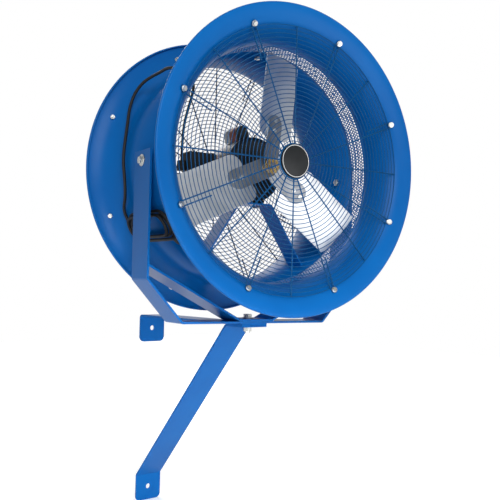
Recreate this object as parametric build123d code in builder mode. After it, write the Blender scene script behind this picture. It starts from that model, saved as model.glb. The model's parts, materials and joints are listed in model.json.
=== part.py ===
"""Wall fan: a spun steel drum fan, carried in a swinging yoke on a braced wall arm.

Millimetres, +Z up. The origin is the middle of the two wall bolts, in the plane of the wall, and the fan
stands off the wall along -Y. The yoke and the fan are turned a little about the pivot, as they hang in use.
"""

from build123d import *
from math import acos, cos, hypot, radians, sin, tan
import os

# Flat bar of the wall bracket and of the yoke
BAR_WIDTH = 101.6
BAR_THICK = 6.35
BEND_RADIUS = 12.7
CORNER_RADIUS = 17.0

# Wall bracket
WALL_BOLT_SPACING = 558.8
WALL_HOLE_DIA = 18.0
UPPER_FOOT_HOLE_DROP = 47.8
UPPER_FOOT_HEIGHT = 95.6
LOWER_FOOT_HEIGHT = 92.4
PIVOT_REACH = 509.0
ARM_OVERHANG = 32.3
BRACE_FLANGE_LENGTH = 78.0

# Pivot and tilt hardware
PIVOT_BOLT_DIA = 15.875
PIVOT_HEAD_FLATS = 23.8
PIVOT_HEAD_HEIGHT = 9.9
PIVOT_WASHER_DIA = 34.0
PIVOT_WASHER_THICK = 2.8
PIVOT_NUT_HEIGHT = 14.0
PIVOT_THREAD_END = 5.0
TILT_BOLT_DIA = 12.7
TILT_HEAD_FLATS = 19.0
TILT_HEAD_HEIGHT = 8.0
TILT_WASHER_DIA = 34.0
TILT_WASHER_THICK = 2.5
TILT_SPACER_DIA = 38.0
TILT_NUT_HEIGHT = 9.0
TILT_THREAD_END = 4.0
TILT_NUT_GAP = 0.7
HINGE_CLEARANCE = 0.08
BOLT_HOLE_CLEARANCE = 0.4
FACE_GAP = 0.3

# Yoke
PAN_AT_REST = -9.0
YOKE_HALF_SPREAD = 364.6
YOKE_BAR_HALF = 252.4
YOKE_CORNER_HEIGHT = 124.3
YOKE_END_MARGIN = 29.0
BRACE_FLAT_HALF = 58.7
BRACE_TOP_HEIGHT = 160.0

# Drum
FAN_HEIGHT = 466.0
TILT_DROP = 8.0
SHEET = 2.0
THROAT_RADIUS = 344.0
RIM_RADIUS = 440.0
HALF_DEPTH = 240.0
FLARE_RADIUS = 102.0
LIP_RADIUS = 5.0
BAND_FRONT = -133.0
BAND_BACK = -65.0

# Guards
GUARD_BOLT_CIRCLE = 392.0
GUARD_BOLT_COUNT = 8
RING_PITCH = 12.0
RING_OUTER_RADIUS = 381.0
RING_COUNT = 28
RING_WIRE = 3.5
SPOKE_WIRE = 4.5
HOOK_HALF_WIDTH = 7.0
HOOK_BEND = 10.0
HOOK_RETURN = 92.0
HOOK_LIFT = 0.15
GUARD_PLATE_RADIUS = 54.0
GUARD_PLATE_THICK = 3.0
SPOKE_START_RADIUS = 46.0
BADGE_RADIUS = 48.0
BADGE_THICK = 6.0
BADGE_CHAMFER = 1.5
GUARD_BOLT_DIA = 7.9
GUARD_HEAD_FLATS = 12.7
GUARD_HEAD_HEIGHT = 5.0
GUARD_WASHER_DIA = 16.5
GUARD_WASHER_THICK = 1.6
GUARD_NUT_HEIGHT = 6.5
GUARD_THREAD_END = 7.0

# Motor
SHAFT_DIA = 19.05
SHAFT_FRONT = -120.0
SHAFT_BACK = 97.0
SHAFT_CHAMFER = 1.0
MOTOR_RADIUS = 98.0
MOTOR_WALL = 3.0
BELL_FRONT = -30.0
SHELL_FRONT = -4.0
SHELL_BACK = 42.0
STACK_FRONT = 4.0
STACK_BACK = 66.0
STACK_RADIUS = 96.0
REAR_BELL_BACK = 100.0
ROTOR_RADIUS = 45.0
AIR_GAP = 0.8
BEARING_DIA = 47.0
BEARING_WIDTH = 14.0
BEARING_INSET = 2.0
BOSS_WALL = 6.0
BELL_CORNER = 12.0
RUNNING_CLEARANCE = 0.05
SEAT_CLEARANCE = 0.05
BELL_PLATE = 8.0
CAPACITOR_RADIUS = 22.0
CAPACITOR_ANGLE = 342.0
CAPACITOR_REACH = 116.0
CAPACITOR_LENGTH = 74.0
CAPACITOR_START = 2.0

# Motor bracket
BRACKET_TOP = -103.0
BRACKET_THICK = 5.0
BRACKET_FRONT = -32.0
BRACKET_BACK = 37.0
BRACKET_TOP_HALF = 58.0
BRACKET_LEG_X = 190.0
BRACKET_LEG_Z = -300.0
FOOT_HALF_WIDTH = 50.0
FOOT_EDGE_HEIGHT = 24.0
FOOT_FRONT = 0.0
FOOT_BACK = 36.0
FOOT_BOLT_DIA = 7.9
FOOT_BOLT_X = 34.0
FOOT_BOLT_SPACING = 18.0
FOOT_BOLT_GRIP = 6.0
FOOT_BOLT_HEAD = 5.5
FOOT_BOLT_FLATS = 12.7

# Terminal box and its cable
BOX_LEFT = -205.0
BOX_RIGHT = -110.0
BOX_BOTTOM = -18.0
BOX_TOP = 40.0
BOX_FRONT = 22.0
BOX_BACK = 70.0
BOX_CORNER = 5.0
BOX_NECK_DIA = 19.5
ELBOW_WIDTH = 22.0
ELBOW_HEIGHT = 30.0
ELBOW_CORNER = 4.0
INNER_CABLE_DIA = 8.0

# Wheel
BLADE_COUNT = 3
BLADE_FIRST_ANGLE = 6.0
BLADE_TIP_RADIUS = 330.0
BLADE_ROOT_RADIUS = 84.0
BLADE_CHORD = 150.0
BLADE_PITCH = 17.0
BLADE_Y = -100.0
BLADE_THICK = 2.5
BLADE_CAMBER_RADIUS = 360.0
BLADE_ROOT_CORNER = 34.0
BLADE_TIP_CORNER = 10.0
BLADE_TRIM = 20.0
TONGUE_WIDTH = 62.0
TONGUE_END_RADIUS = 154.0
TONGUE_THICK = 4.0
SHEET_LAP_GAP = 0.15
HUB_RADIUS = 24.0
HUB_FRONT = -116.0
HUB_BACK = -80.0
RIVET_DIA = 7.0
RIVET_HEAD_DIA = 13.0
RIVET_HEAD_HEIGHT = 2.5
RIVET_RADII = (108.0, 138.0)
CUT_LENGTH = 60.0

# Hanging bolt at the top of the barrel
HANGER_BOLT_DIA = 9.5
HANGER_Y = -20.0
HANGER_FLATS = 16.0
HANGER_HEAD = 7.0
HANGER_THREAD_END = 12.0

# Power cord, its gland and its hank
CORD_DIA = 9.4
GLAND_ANGLE = 313.0
GLAND_Y = -55.0
GLAND_BASE_DIA = 26.0
GLAND_BASE_THICK = 5.0
GLAND_LEAN = 45.0
GLAND_TIP_DIA = 14.0
GLAND_SLEEVE_DIA = 21.8
HANK_ANGLE = 239.0
HANK_RADIUS = 361.0
HANK_MIDDLE_Y = 50.0
HANK_HALF_RUN = 80.0
HANK_TURN_RADIUS = 48.0
HANK_PITCH = 12.0
HANK_LEAD = 10.0
HANK_RUN_IN = 45.0
HANK_TAIL = 58.0
TIE_WIDTH = 9.0
TIE_THICK = 1.3
TIE_SLACK = 0.7
PLUG_DIA = 34.0
PLUG_NECK_DIA = 18.8
PLUG_NECK_LENGTH = 22.0
PLUG_BODY_LENGTH = 14.0
PLUG_BLADE_WIDTH = 6.35
PLUG_BLADE_THICK = 1.6
PLUG_BLADE_SPACING = 12.7
PLUG_EARTH_DIA = 4.8
PLUG_EARTH_OFFSET = 11.0
PLUG_PIN_LENGTH = 18.0

# Counts of straight chords in a bell's profile, and of straight sides that stand for a small circle
FLARE_CHORDS = 3
LIP_CHORDS = 2
ROUND_SIDES = 16
SHANK_SIDES = 8
CORD_SIDES = 6

# Places worked out from the sizes
ARM_TOP = WALL_BOLT_SPACING / 2 + UPPER_FOOT_HOLE_DROP
ARM_END = -(PIVOT_REACH + ARM_OVERHANG)
LOWER_HOLE_Z = -WALL_BOLT_SPACING / 2
FLARE_TURN = acos(1 - (RIM_RADIUS - LIP_RADIUS - THROAT_RADIUS) / FLARE_RADIUS)
FLARE_START = HALF_DEPTH - FLARE_RADIUS * sin(FLARE_TURN)
BOLT_TURN = acos(1 - (GUARD_BOLT_CIRCLE - THROAT_RADIUS) / FLARE_RADIUS)
BOLT_SEAT_Y = FLARE_START + FLARE_RADIUS * sin(BOLT_TURN)
GUARD_Y = BOLT_SEAT_Y + (SPOKE_WIRE / 2 + HOOK_LIFT) * sin(BOLT_TURN) - HOOK_BEND * cos(BOLT_TURN)
HOOK_RADIUS = GUARD_BOLT_CIRCLE - (SPOKE_WIRE / 2 + HOOK_LIFT) * cos(BOLT_TURN) - HOOK_BEND * sin(BOLT_TURN)
BOLT_ANGLES = [(k + 0.5) * 360 / GUARD_BOLT_COUNT for k in range(GUARD_BOLT_COUNT)]
PLAIN_ANGLES = [k * 360 / GUARD_BOLT_COUNT for k in range(GUARD_BOLT_COUNT)]
THROAT_OUTER = THROAT_RADIUS + SHEET
YOKE_INNER = YOKE_HALF_SPREAD - BAR_THICK
BLADE_ANGLES = [BLADE_FIRST_ANGLE + k * 360 / BLADE_COUNT for k in range(BLADE_COUNT)]

# The swung frame of the yoke, and the drum's own frame in it: X right, Y to the back, Z up
SWING = Location((0, -PIVOT_REACH, ARM_TOP + FACE_GAP), (0, 0, PAN_AT_REST))
DRUM = SWING * Location((0, 0, FAN_HEIGHT))

os.makedirs("parts", exist_ok=True)


def finish(part, name):
    """Labels a finished piece and writes it under its name."""
    part.label = name
    export_step(part, f"parts/{name}.step")


def placed(frame, plane):
    """A plane given in a frame, as a plane of the whole."""
    return Plane(frame * plane.location)


def facing(y, angle=0.0):
    """A plane square to the drum's axis, seen from the front, turned clockwise by the angle."""
    return placed(DRUM * Location((0, 0, 0), (0, angle, 0)), Plane.XZ.offset(-y))


def sideways(x):
    """A plane square to the drum's X, facing the drum's right, with the drum's Y across it."""
    return placed(DRUM, Plane.YZ.offset(x))


def drum_point(radius, y, angle):
    """A point of the drum frame from its radius, its Y and its clockwise angle."""
    return Vector(radius * sin(radians(angle)), y, radius * cos(radians(angle)))


def drum_direction(radial, y, angle):
    """A direction of the drum frame from its radial and axial shares."""
    return Vector(radial * sin(radians(angle)), y, radial * cos(radians(angle)))


def drum_plane(origin, normal, across):
    """A plane at a point of the drum frame."""
    return placed(DRUM, Plane(origin=origin, x_dir=across, z_dir=normal))


def drum_axis():
    """The fan's axis."""
    middle = DRUM.position
    along = (DRUM * Location((0, 1, 0))).position - middle
    return Axis(middle, along)


def bolt_seat(angle, side, lift=0.0):
    """The plane of a guard bolt's seat on a bell, lifted off the sheet; side is -1 at the front."""
    normal = drum_direction(-cos(BOLT_TURN), side * sin(BOLT_TURN), angle)
    seat = drum_point(GUARD_BOLT_CIRCLE, side * BOLT_SEAT_Y, angle)
    return drum_plane(seat + normal * lift, normal, drum_direction(0, 1, 0).cross(normal))


def bent_bar(*points, side):
    """A flat bar seen edge on: its bent path, thickened to one side."""
    with BuildSketch() as edge_view:
        with BuildLine():
            FilletPolyline(*points, radius=BEND_RADIUS)
            offset(amount=BAR_THICK, side=side)
        make_face()
    return edge_view.sketch


def round_foot(part_builder, low, high):
    """Rounds the corners of a bracket's foot, found by their height, where its edges run along Y."""
    corners = part_builder.edges().filter_by(Axis.Y).filter_by_position(Axis.Z, low, high)
    fillet(corners, radius=CORNER_RADIUS)


# Wall bracket

with BuildPart() as wall_arm:
    with BuildSketch(Plane.YZ):
        add(bent_bar((ARM_END, ARM_TOP), (0, ARM_TOP), (0, ARM_TOP - UPPER_FOOT_HEIGHT), side=Side.RIGHT))
    extrude(amount=BAR_WIDTH / 2, both=True)
    round_foot(wall_arm, ARM_TOP - UPPER_FOOT_HEIGHT - 1, ARM_TOP - UPPER_FOOT_HEIGHT + 1)
    with Locations(Location((0, 0, WALL_BOLT_SPACING / 2), (90, 0, 0))):
        Cylinder(WALL_HOLE_DIA / 2, 4 * BAR_THICK, mode=Mode.SUBTRACT)
    with Locations((0, -PIVOT_REACH, ARM_TOP)):
        Cylinder(PIVOT_BOLT_DIA / 2 + BOLT_HOLE_CLEARANCE, 4 * BAR_THICK, mode=Mode.SUBTRACT)
finish(wall_arm.part, "wall_arm")

BRACE_TOP = ARM_TOP - BAR_THICK
LOWER_FOOT_END = LOWER_HOLE_Z - LOWER_FOOT_HEIGHT / 2
LOWER_FOOT_BEND = LOWER_HOLE_Z + LOWER_FOOT_HEIGHT / 2
with BuildPart() as wall_brace:
    with BuildSketch(Plane.YZ):
        add(
            bent_bar(
                (0, LOWER_FOOT_END),
                (0, LOWER_FOOT_BEND),
                (ARM_END + BRACE_FLANGE_LENGTH, BRACE_TOP),
                (ARM_END, BRACE_TOP),
                side=Side.LEFT,
            )
        )
    extrude(amount=BAR_WIDTH / 2, both=True)
    round_foot(wall_brace, LOWER_FOOT_END - 1, LOWER_FOOT_END + 1)
    with Locations(Location((0, 0, LOWER_HOLE_Z), (90, 0, 0))):
        Cylinder(WALL_HOLE_DIA / 2, 4 * BAR_THICK, mode=Mode.SUBTRACT)
    with Locations((0, -PIVOT_REACH, BRACE_TOP)):
        Cylinder(PIVOT_BOLT_DIA / 2 + BOLT_HOLE_CLEARANCE, 4 * BAR_THICK, mode=Mode.SUBTRACT)
finish(wall_brace.part, "wall_brace")

# Pivot bolt, with a washer under its head and a nut under the brace
STACK_TOP = ARM_TOP + FACE_GAP + 2 * BAR_THICK + FACE_GAP
STACK_BOTTOM = ARM_TOP - 2 * BAR_THICK

with BuildPart() as pivot_bolt:
    with BuildSketch(Plane.XY.offset(STACK_TOP + PIVOT_WASHER_THICK)):
        with Locations((0, -PIVOT_REACH)):
            RegularPolygon(PIVOT_HEAD_FLATS / 2, 6, major_radius=False)
    extrude(amount=PIVOT_HEAD_HEIGHT)
    with BuildSketch(Plane.XY.offset(STACK_TOP + PIVOT_WASHER_THICK)):
        with Locations((0, -PIVOT_REACH)):
            Circle(PIVOT_BOLT_DIA / 2)
    bolt_reach = STACK_TOP + PIVOT_WASHER_THICK - STACK_BOTTOM + PIVOT_NUT_HEIGHT + PIVOT_THREAD_END
    extrude(amount=-bolt_reach)
finish(pivot_bolt.part, "pivot_bolt")

with BuildPart() as pivot_washer:
    with BuildSketch(Plane.XY.offset(STACK_TOP)):
        with Locations((0, -PIVOT_REACH)):
            RegularPolygon(PIVOT_WASHER_DIA / 2, 2 * ROUND_SIDES)
            Circle(PIVOT_BOLT_DIA / 2 + BOLT_HOLE_CLEARANCE, mode=Mode.SUBTRACT)
    extrude(amount=PIVOT_WASHER_THICK)
finish(pivot_washer.part, "pivot_washer")

with BuildPart() as pivot_nut:
    with BuildSketch(Plane.XY.offset(STACK_BOTTOM)):
        with Locations((0, -PIVOT_REACH)):
            RegularPolygon(PIVOT_HEAD_FLATS / 2, 6, major_radius=False)
            Circle(PIVOT_BOLT_DIA / 2 + SEAT_CLEARANCE, mode=Mode.SUBTRACT)
    extrude(amount=-PIVOT_NUT_HEIGHT)
finish(pivot_nut.part, "pivot_nut")

# Yoke

YOKE_FRONT_VIEW = placed(SWING, Plane.XZ)
TILT_HEIGHT = FAN_HEIGHT - TILT_DROP
YOKE_TOP_HEIGHT = TILT_HEIGHT + YOKE_END_MARGIN
with BuildPart() as yoke_strap:
    with BuildSketch(YOKE_FRONT_VIEW):
        add(
            bent_bar(
                (-YOKE_HALF_SPREAD, YOKE_TOP_HEIGHT),
                (-YOKE_HALF_SPREAD, YOKE_CORNER_HEIGHT),
                (-YOKE_BAR_HALF, 0),
                (YOKE_BAR_HALF, 0),
                (YOKE_HALF_SPREAD, YOKE_CORNER_HEIGHT),
                (YOKE_HALF_SPREAD, YOKE_TOP_HEIGHT),
                side=Side.LEFT,
            )
        )
    extrude(amount=BAR_WIDTH / 2, both=True)
    with Locations(SWING):
        Cylinder(PIVOT_BOLT_DIA / 2 + HINGE_CLEARANCE, 4 * BAR_THICK, mode=Mode.SUBTRACT)
    with Locations(SWING * Location((0, 0, TILT_HEIGHT), (0, 90, 0))):
        Cylinder(TILT_BOLT_DIA / 2 + HINGE_CLEARANCE, 3 * YOKE_HALF_SPREAD, mode=Mode.SUBTRACT)
finish(yoke_strap.part, "yoke_strap")

BRACE_SLOPE = (BRACE_TOP_HEIGHT - BAR_THICK) / (YOKE_INNER - BRACE_FLAT_HALF)
BRACE_RUNOUT = 2 * BAR_THICK
with BuildPart() as yoke_brace:
    runout_height = BRACE_TOP_HEIGHT + BRACE_RUNOUT * BRACE_SLOPE
    with BuildSketch(YOKE_FRONT_VIEW):
        add(
            bent_bar(
                (-YOKE_INNER - BRACE_RUNOUT, runout_height),
                (-BRACE_FLAT_HALF, BAR_THICK),
                (BRACE_FLAT_HALF, BAR_THICK),
                (YOKE_INNER + BRACE_RUNOUT, runout_height),
                side=Side.LEFT,
            )
        )
        Rectangle(2 * YOKE_INNER, 4 * BRACE_TOP_HEIGHT, mode=Mode.INTERSECT)
    extrude(amount=BAR_WIDTH / 2, both=True)
    with Locations(SWING):
        Cylinder(PIVOT_BOLT_DIA / 2 + HINGE_CLEARANCE, 6 * BAR_THICK, mode=Mode.SUBTRACT)
finish(yoke_brace.part, "yoke_brace")


# Tilt hardware, one set at each side of the drum, all of it fast to the drum


def tilt_plane(x, side):
    """A plane square to the tilt axis, facing outwards at one side."""
    return drum_plane((side * x, 0, -TILT_DROP), (side, 0, 0), (0, 1, 0))


WASHER_SEAT = YOKE_HALF_SPREAD + FACE_GAP
TILT_NUT_SEAT = THROAT_RADIUS - TILT_NUT_GAP
with BuildPart() as tilt_bolts:
    for side in (-1, 1):
        with BuildSketch(tilt_plane(WASHER_SEAT + TILT_WASHER_THICK, side)):
            RegularPolygon(TILT_HEAD_FLATS / 2, 6, major_radius=False)
        extrude(amount=TILT_HEAD_HEIGHT)
        with BuildSketch(tilt_plane(WASHER_SEAT + TILT_WASHER_THICK, side)):
            Circle(TILT_BOLT_DIA / 2)
        shank_end = TILT_NUT_SEAT - TILT_NUT_HEIGHT - TILT_THREAD_END
        extrude(amount=shank_end - WASHER_SEAT - TILT_WASHER_THICK)
finish(tilt_bolts.part, "tilt_bolts")

with BuildPart() as tilt_washers:
    for side in (-1, 1):
        with BuildSketch(tilt_plane(WASHER_SEAT, side)):
            RegularPolygon(TILT_WASHER_DIA / 2, 2 * ROUND_SIDES)
            Circle(TILT_BOLT_DIA / 2 + SEAT_CLEARANCE, mode=Mode.SUBTRACT)
        extrude(amount=TILT_WASHER_THICK)
finish(tilt_washers.part, "tilt_washers")

with BuildPart() as tilt_spacers:
    for side in (-1, 1):
        with BuildSketch(tilt_plane(YOKE_INNER - FACE_GAP, side)):
            RegularPolygon(TILT_SPACER_DIA / 2, 2 * ROUND_SIDES)
            Circle(TILT_BOLT_DIA / 2 + SEAT_CLEARANCE, mode=Mode.SUBTRACT)
        extrude(amount=THROAT_OUTER + SEAT_CLEARANCE - YOKE_INNER + FACE_GAP)
finish(tilt_spacers.part, "tilt_spacers")

with BuildPart() as tilt_nuts:
    for side in (-1, 1):
        with BuildSketch(tilt_plane(TILT_NUT_SEAT, side)):
            RegularPolygon(TILT_HEAD_FLATS / 2, 6, major_radius=False)
            Circle(TILT_BOLT_DIA / 2 + SEAT_CLEARANCE, mode=Mode.SUBTRACT)
        extrude(amount=-TILT_NUT_HEIGHT)
finish(tilt_nuts.part, "tilt_nuts")

# Drum: two flared bells and the perforated band between them

PROFILE = placed(DRUM, Plane.XY)


def flare_point(side, turn, reach):
    """A point of a bell's flare from its turn out of the throat and its reach from the flare's centre."""
    return (THROAT_RADIUS + FLARE_RADIUS - reach * cos(turn), side * (FLARE_START + reach * sin(turn)))


def bell_profile(side, throat_end):
    """The sheet of one bell cut through the axis: throat, flare and curled lip, on the air side's line.

    The flare's chords touch its arc at their middles, and the bolts' seat is the middle of one of them.
    """
    step = BOLT_TURN / FLARE_CHORDS
    points = [(THROAT_RADIUS, throat_end)]
    for k in range(FLARE_CHORDS + 1):
        points.append(flare_point(side, (k + 0.5) * step, FLARE_RADIUS / cos(step / 2)))
    flare_end = flare_point(side, FLARE_TURN, FLARE_RADIUS)
    lip_centre = Vector(*flare_end) + Vector(cos(FLARE_TURN), -side * sin(FLARE_TURN)) * LIP_RADIUS
    curl = (radians(270) - FLARE_TURN) / LIP_CHORDS
    for k in range(LIP_CHORDS + 1):
        turn = FLARE_TURN + k * curl
        points.append((lip_centre.X - LIP_RADIUS * cos(turn), lip_centre.Y + side * LIP_RADIUS * sin(turn)))
    with BuildSketch() as section:
        with BuildLine():
            Polyline(*points)
            offset(amount=SHEET, side=Side.LEFT if side < 0 else Side.RIGHT, kind=Kind.INTERSECTION)
        make_face()
    return section.sketch


def make_bell(name, side, throat_end, holes):
    """One bell: its profile turned about the axis, with its bolt holes and any extra holes."""
    with BuildPart() as bell:
        with BuildSketch(PROFILE):
            add(bell_profile(side, throat_end))
        revolve(axis=drum_axis())
        for angle in BOLT_ANGLES:
            with BuildSketch(bolt_seat(angle, side)):
                RegularPolygon(GUARD_BOLT_DIA / 2 + BOLT_HOLE_CLEARANCE, SHANK_SIDES)
            extrude(amount=2 * SHEET, both=True, mode=Mode.SUBTRACT)
        for place, diameter in holes:
            with Locations(place):
                Cylinder(diameter / 2, CUT_LENGTH, mode=Mode.SUBTRACT)
    finish(bell.part, name)


HANGER_SEAT = drum_plane(drum_point(THROAT_RADIUS, HANGER_Y, 0), (0, 0, 1), (1, 0, 0))
GLAND_SEAT = drum_plane(
    drum_point(THROAT_OUTER, GLAND_Y, GLAND_ANGLE), drum_direction(1, 0, GLAND_ANGLE), (0, 1, 0)
)
make_bell("front_bell", -1, BAND_FRONT, [])
make_bell(
    "rear_bell",
    1,
    BAND_BACK,
    [
        (tilt_plane(THROAT_RADIUS, -1), TILT_BOLT_DIA + BOLT_HOLE_CLEARANCE),
        (tilt_plane(THROAT_RADIUS, 1), TILT_BOLT_DIA + BOLT_HOLE_CLEARANCE),
        (HANGER_SEAT, HANGER_BOLT_DIA + BOLT_HOLE_CLEARANCE),
        (GLAND_SEAT, INNER_CABLE_DIA + 2 * BOLT_HOLE_CLEARANCE),
    ],
)

with BuildPart() as perforated_band:
    with BuildSketch(facing(BAND_BACK)):
        Circle(THROAT_OUTER)
        Circle(THROAT_RADIUS, mode=Mode.SUBTRACT)
    extrude(amount=BAND_BACK - BAND_FRONT)
finish(perforated_band.part, "perforated_band")


# Guards: concentric rings in front of radial spokes, every second spoke ending in a hook round a bolt


def ring_sides(radius):
    """Number of straight sides that stand for a ring's circle."""
    return 16 if radius > RING_OUTER_RADIUS / 2 else 12


def make_guard_rings(name, side):
    """The rings of one guard, on the outer side of its spokes."""
    inner_face = side * (GUARD_Y + SPOKE_WIRE / 2)
    with BuildPart() as rings:
        with BuildSketch(facing(inner_face)):
            for k in range(RING_COUNT):
                radius = RING_OUTER_RADIUS - k * RING_PITCH
                sides = ring_sides(radius)
                RegularPolygon(radius + RING_WIRE / 2, sides, rotation=180 / sides)
                RegularPolygon(radius - RING_WIRE / 2, sides, rotation=180 / sides, mode=Mode.SUBTRACT)
        extrude(amount=-side * RING_WIRE)
    finish(rings.part, name)


def hook_path(angle, side):
    """The line of a hooked spoke: out past its bolt, round it in the slope of the bell, and back."""
    out = drum_direction(1, 0, angle)
    across = out.cross(Vector(0, 1, 0))
    level = Vector(0, side * GUARD_Y, 0)
    slope = out * sin(BOLT_TURN) + Vector(0, side * cos(BOLT_TURN), 0)
    bend = level + out * HOOK_RADIUS
    points = [level + out * SPOKE_START_RADIUS - across * HOOK_HALF_WIDTH, bend - across * HOOK_HALF_WIDTH]
    for turn in (0, 45, 90, 135, 180):
        reach = HOOK_BEND + HOOK_HALF_WIDTH * sin(radians(turn))
        points.append(bend + slope * reach - across * HOOK_HALF_WIDTH * cos(radians(turn)))
    points.append(bend + across * HOOK_HALF_WIDTH)
    points.append(level + out * (HOOK_RADIUS - HOOK_RETURN) + across * HOOK_HALF_WIDTH)
    return points, out, across


def make_guard_spokes(name, side):
    """The spokes of one guard and the plate that they meet on."""
    with BuildPart() as spokes:
        with BuildSketch(facing(side * (GUARD_Y + SPOKE_WIRE / 2))):
            Circle(GUARD_PLATE_RADIUS)
        extrude(amount=side * GUARD_PLATE_THICK)
        for angle in BOLT_ANGLES:
            points, out, across = hook_path(angle, side)
            corners = [(DRUM * Location(p)).position for p in points]
            with BuildLine() as route:
                Polyline(*corners)
            with BuildSketch(drum_plane(points[0], out, across)):
                Rectangle(SPOKE_WIRE, SPOKE_WIRE)
            sweep(path=route.line, transition=Transition.RIGHT)
        for angle in PLAIN_ANGLES:
            start = drum_point(SPOKE_START_RADIUS, side * GUARD_Y, angle)
            with BuildSketch(drum_plane(start, drum_direction(1, 0, angle), (0, 1, 0))):
                Rectangle(SPOKE_WIRE, SPOKE_WIRE)
            extrude(amount=RING_OUTER_RADIUS + RING_WIRE / 2 - SPOKE_START_RADIUS)
    finish(spokes.part, name)


def make_guard_bolts(name, side):
    """The bolts that hold one guard: a head with its washer over the hook, a shank through the bell."""
    with BuildPart() as bolts:
        for angle in BOLT_ANGLES:
            washer_lift = SPOKE_WIRE + 2 * HOOK_LIFT
            with BuildSketch(bolt_seat(angle, side, washer_lift)):
                RegularPolygon(GUARD_WASHER_DIA / 2, ROUND_SIDES)
            extrude(amount=GUARD_WASHER_THICK)
            with BuildSketch(bolt_seat(angle, side, washer_lift + GUARD_WASHER_THICK)):
                RegularPolygon(GUARD_HEAD_FLATS / 2, 6, major_radius=False)
            extrude(amount=GUARD_HEAD_HEIGHT)
            with BuildSketch(bolt_seat(angle, side, washer_lift)):
                RegularPolygon(GUARD_BOLT_DIA / 2, SHANK_SIDES)
            extrude(amount=-(washer_lift + SHEET + GUARD_NUT_HEIGHT + GUARD_THREAD_END))
    finish(bolts.part, name)


def make_guard_nuts(name, side):
    """The nuts behind one bell's sheet."""
    with BuildPart() as nuts:
        for angle in BOLT_ANGLES:
            with BuildSketch(bolt_seat(angle, side, -SHEET - HOOK_LIFT)):
                RegularPolygon(GUARD_HEAD_FLATS / 2, 6, major_radius=False)
                RegularPolygon(GUARD_BOLT_DIA / 2 + SEAT_CLEARANCE, SHANK_SIDES, mode=Mode.SUBTRACT)
            extrude(amount=-GUARD_NUT_HEIGHT)
    finish(nuts.part, name)


for end, side in (("front", -1), ("rear", 1)):
    make_guard_rings(f"{end}_guard_rings", side)
    make_guard_spokes(f"{end}_guard_spokes", side)
    make_guard_bolts(f"{end}_guard_bolts", side)
    make_guard_nuts(f"{end}_guard_nuts", side)

with BuildPart() as guard_badge:
    with BuildSketch(facing(-(GUARD_Y + SPOKE_WIRE / 2))):
        RegularPolygon(BADGE_RADIUS, 3 * ROUND_SIDES)
    extrude(amount=BADGE_THICK)
    chamfer(guard_badge.edges().group_by(Axis((0, 0, 0), facing(0).z_dir))[-1], length=BADGE_CHAMFER)
finish(guard_badge.part, "guard_badge")

# Motor: turned shells round a stack and a rotor on ball bearings


def turned(points):
    """A closed profile in radius and drum Y, ready to turn about the axis."""
    with BuildSketch() as section:
        with BuildLine():
            Polyline(*points, close=True)
        make_face()
    return section.sketch


FRONT_BEARING_Y = (BELL_FRONT + BEARING_INSET, BELL_FRONT + BEARING_INSET + BEARING_WIDTH)
REAR_BEARING_Y = (REAR_BELL_BACK - BEARING_INSET - BEARING_WIDTH, REAR_BELL_BACK - BEARING_INSET)
SEAT_RADIUS = BEARING_DIA / 2 + SEAT_CLEARANCE
SHAFT_HOLE = SHAFT_DIA / 2 + BEARING_INSET
BOSS_RADIUS = SEAT_RADIUS + BOSS_WALL

with BuildPart() as motor_front_bell:
    with BuildSketch(PROFILE):
        add(
            turned(
                [
                    (SHAFT_HOLE, BELL_FRONT),
                    (MOTOR_RADIUS - BELL_CORNER, BELL_FRONT),
                    (MOTOR_RADIUS, BELL_FRONT + BELL_CORNER),
                    (MOTOR_RADIUS, SHELL_FRONT),
                    (MOTOR_RADIUS - BELL_CORNER, SHELL_FRONT),
                    (MOTOR_RADIUS - BELL_CORNER, BELL_FRONT + BELL_PLATE),
                    (BOSS_RADIUS, BELL_FRONT + BELL_PLATE),
                    (BOSS_RADIUS, FRONT_BEARING_Y[1]),
                    (SEAT_RADIUS, FRONT_BEARING_Y[1]),
                    (SEAT_RADIUS, FRONT_BEARING_Y[0]),
                    (SHAFT_HOLE, FRONT_BEARING_Y[0]),
                ]
            )
        )
    revolve(axis=drum_axis())
finish(motor_front_bell.part, "motor_front_bell")

with BuildPart() as motor_rear_bell:
    with BuildSketch(PROFILE):
        add(
            turned(
                [
                    (SHAFT_HOLE, REAR_BELL_BACK),
                    (STACK_RADIUS - BELL_CORNER, REAR_BELL_BACK),
                    (STACK_RADIUS, REAR_BELL_BACK - BELL_CORNER),
                    (STACK_RADIUS, STACK_BACK),
                    (MOTOR_RADIUS - BELL_CORNER, STACK_BACK),
                    (MOTOR_RADIUS - BELL_CORNER, REAR_BELL_BACK - BELL_PLATE),
                    (BOSS_RADIUS, REAR_BELL_BACK - BELL_PLATE),
                    (BOSS_RADIUS, REAR_BEARING_Y[0]),
                    (SEAT_RADIUS, REAR_BEARING_Y[0]),
                    (SEAT_RADIUS, REAR_BEARING_Y[1]),
                    (SHAFT_HOLE, REAR_BEARING_Y[1]),
                ]
            )
        )
    revolve(axis=drum_axis())
finish(motor_rear_bell.part, "motor_rear_bell")

with BuildPart() as motor_shell:
    with BuildSketch(facing(SHELL_BACK)):
        Circle(MOTOR_RADIUS)
        Circle(MOTOR_RADIUS - MOTOR_WALL, mode=Mode.SUBTRACT)
    extrude(amount=SHELL_BACK - SHELL_FRONT)
finish(motor_shell.part, "motor_shell")

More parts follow.
